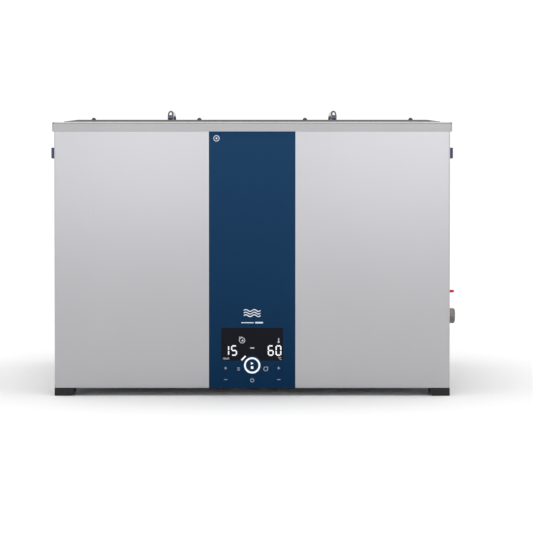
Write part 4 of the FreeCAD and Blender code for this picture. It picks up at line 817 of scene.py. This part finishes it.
CAMERA_DISTANCE = 3.2655
CAMERA_HEIGHT = 0.375
CAMERA_PITCH = 1.3
CAMERA_LENS = 124.79
CAMERA_SENSOR = 36.0
CAMERA_SHIFT = (0.0269, -0.1124)
FLOOR_SIZE = 16.0

# Brightness of the surroundings: the sweep round the horizon in front and behind, and the sky above it.
SWEEP_FRONT = (1.84, 1.84, 1.86, 1.0)
SWEEP_REAR = (1.05, 1.05, 1.05, 1.0)
DOME = (0.30, 0.30, 0.30, 1.0)
# Where the sweep fades into the dome, as the sine of the height over the horizon.
FADE_START = 0.16
FADE_END = 0.42
# Front turns into rear between these two, as the y of the direction.
FRONT_END = -0.5
REAR_START = 0.5

SUN_STRENGTH = 2.4
SUN_ANGLE = 66.0

# Two weak strips in front: name, place, width, power.
STRIP_TARGET = (0.0, -0.25, 0.3)
STRIP_HEIGHT = 0.6
STRIPS = (
    ("left_light", (-0.32, -3.4, 0.55), 0.4, 0.3),
    ("right_light", (0.55, -3.4, 0.55), 0.5, 0.5),
)


def add_camera():
    """The camera of the photograph: nearly level, far away, with the object off its axis."""
    data = bpy.data.cameras.new("camera")
    data.lens = CAMERA_LENS
    data.sensor_width = CAMERA_SENSOR
    data.shift_x, data.shift_y = CAMERA_SHIFT
    camera = bpy.data.objects.new("camera", data)
    camera.location = (0.0, -CAMERA_DISTANCE, CAMERA_HEIGHT)
    camera.rotation_euler = (math.radians(90.0 - CAMERA_PITCH), 0.0, 0.0)
    SCENE.collection.objects.link(camera)
    SCENE.camera = camera


def add_floor():
    """Plain pale floor."""
    finish = Finish("studio_floor")
    broad = finish.noise((3.0, 3.0, 3.0), CLOUD_DETAIL)
    finish.colour(finish.blend(broad, (0.93, 0.93, 0.93, 1.0), (0.96, 0.96, 0.96, 1.0)))
    finish.set(Roughness=0.9)
    data = bpy.data.meshes.new("studio_floor")
    half = FLOOR_SIZE / 2
    corners = [(-half, -half, 0), (half, -half, 0), (half, half, 0), (-half, half, 0)]
    data.from_pydata(corners, [], [(0, 1, 2, 3)])
    data.materials.append(finish.material)
    floor = bpy.data.objects.new("studio_floor", data)
    SCENE.collection.objects.link(floor)


def add_world():
    """Bright sweep round the horizon, which ends lower behind the object, under a dim dome."""
    world = bpy.data.worlds.new("studio")
    world.use_nodes = True
    tree = world.node_tree
    background = tree.nodes["Background"]
    coordinates = tree.nodes.new("ShaderNodeTexCoord")
    split = tree.nodes.new("ShaderNodeSeparateXYZ")
    tree.links.new(coordinates.outputs["Generated"], split.inputs["Vector"])
    rear = tree.nodes.new("ShaderNodeMapRange")
    rear.interpolation_type = "SMOOTHSTEP"
    rear.inputs["From Min"].default_value = FRONT_END
    rear.inputs["From Max"].default_value = REAR_START
    tree.links.new(split.outputs["Y"], rear.inputs["Value"])
    # Behind the object a direction counts as up to twice as high, so the sweep ends lower there.
    lowered = tree.nodes.new("ShaderNodeMath")
    lowered.operation = "MULTIPLY_ADD"
    tree.links.new(split.outputs["Z"], lowered.inputs[0])
    tree.links.new(rear.outputs["Result"], lowered.inputs[1])
    tree.links.new(split.outputs["Z"], lowered.inputs[2])
    height = tree.nodes.new("ShaderNodeMapRange")
    height.interpolation_type = "SMOOTHSTEP"
    height.inputs["From Min"].default_value = FADE_START
    height.inputs["From Max"].default_value = FADE_END
    tree.links.new(lowered.outputs["Value"], height.inputs["Value"])
    sweep = tree.nodes.new("ShaderNodeMix")
    sweep.data_type = "RGBA"
    sweep.inputs[MIX_FIRST].default_value = SWEEP_FRONT
    sweep.inputs[MIX_SECOND].default_value = SWEEP_REAR
    tree.links.new(rear.outputs["Result"], sweep.inputs["Factor"])
    dome = tree.nodes.new("ShaderNodeMix")
    dome.data_type = "RGBA"
    dome.inputs[MIX_SECOND].default_value = DOME
    tree.links.new(height.outputs["Result"], dome.inputs["Factor"])
    tree.links.new(sweep.outputs[MIX_RESULT], dome.inputs[MIX_FIRST])
    tree.links.new(dome.outputs[MIX_RESULT], background.inputs["Color"])
    SCENE.world = world


def add_strip(name, place, width, power):
    """A soft rectangular light aimed at the front of the object."""
    data = bpy.data.lights.new(name, "AREA")
    data.shape = "RECTANGLE"
    data.size = width
    data.size_y = STRIP_HEIGHT
    data.energy = power
    lamp = bpy.data.objects.new(name, data)
    lamp.location = place
    aim = Vector(STRIP_TARGET) - Vector(place)
    lamp.rotation_euler = aim.to_track_quat("-Z", "Y").to_euler()
    SCENE.collection.objects.link(lamp)


def add_sun():
    """Soft daylight from straight overhead, wide enough to leave almost no shadow edge."""
    data = bpy.data.lights.new("overhead", "SUN")
    data.energy = SUN_STRENGTH
    data.angle = math.radians(SUN_ANGLE)
    lamp = bpy.data.objects.new("overhead", data)
    SCENE.collection.objects.link(lamp)


finish_nodes()
display_digits()
display_units()
display_symbols()
level_tick()
front_mark()
corner_sign()
key_signs()
add_camera()
add_floor()
add_world()
add_sun()
for name, place, width, power in STRIPS:
    add_strip(name, place, width, power)
SCENE.view_settings.view_transform = "Standard"
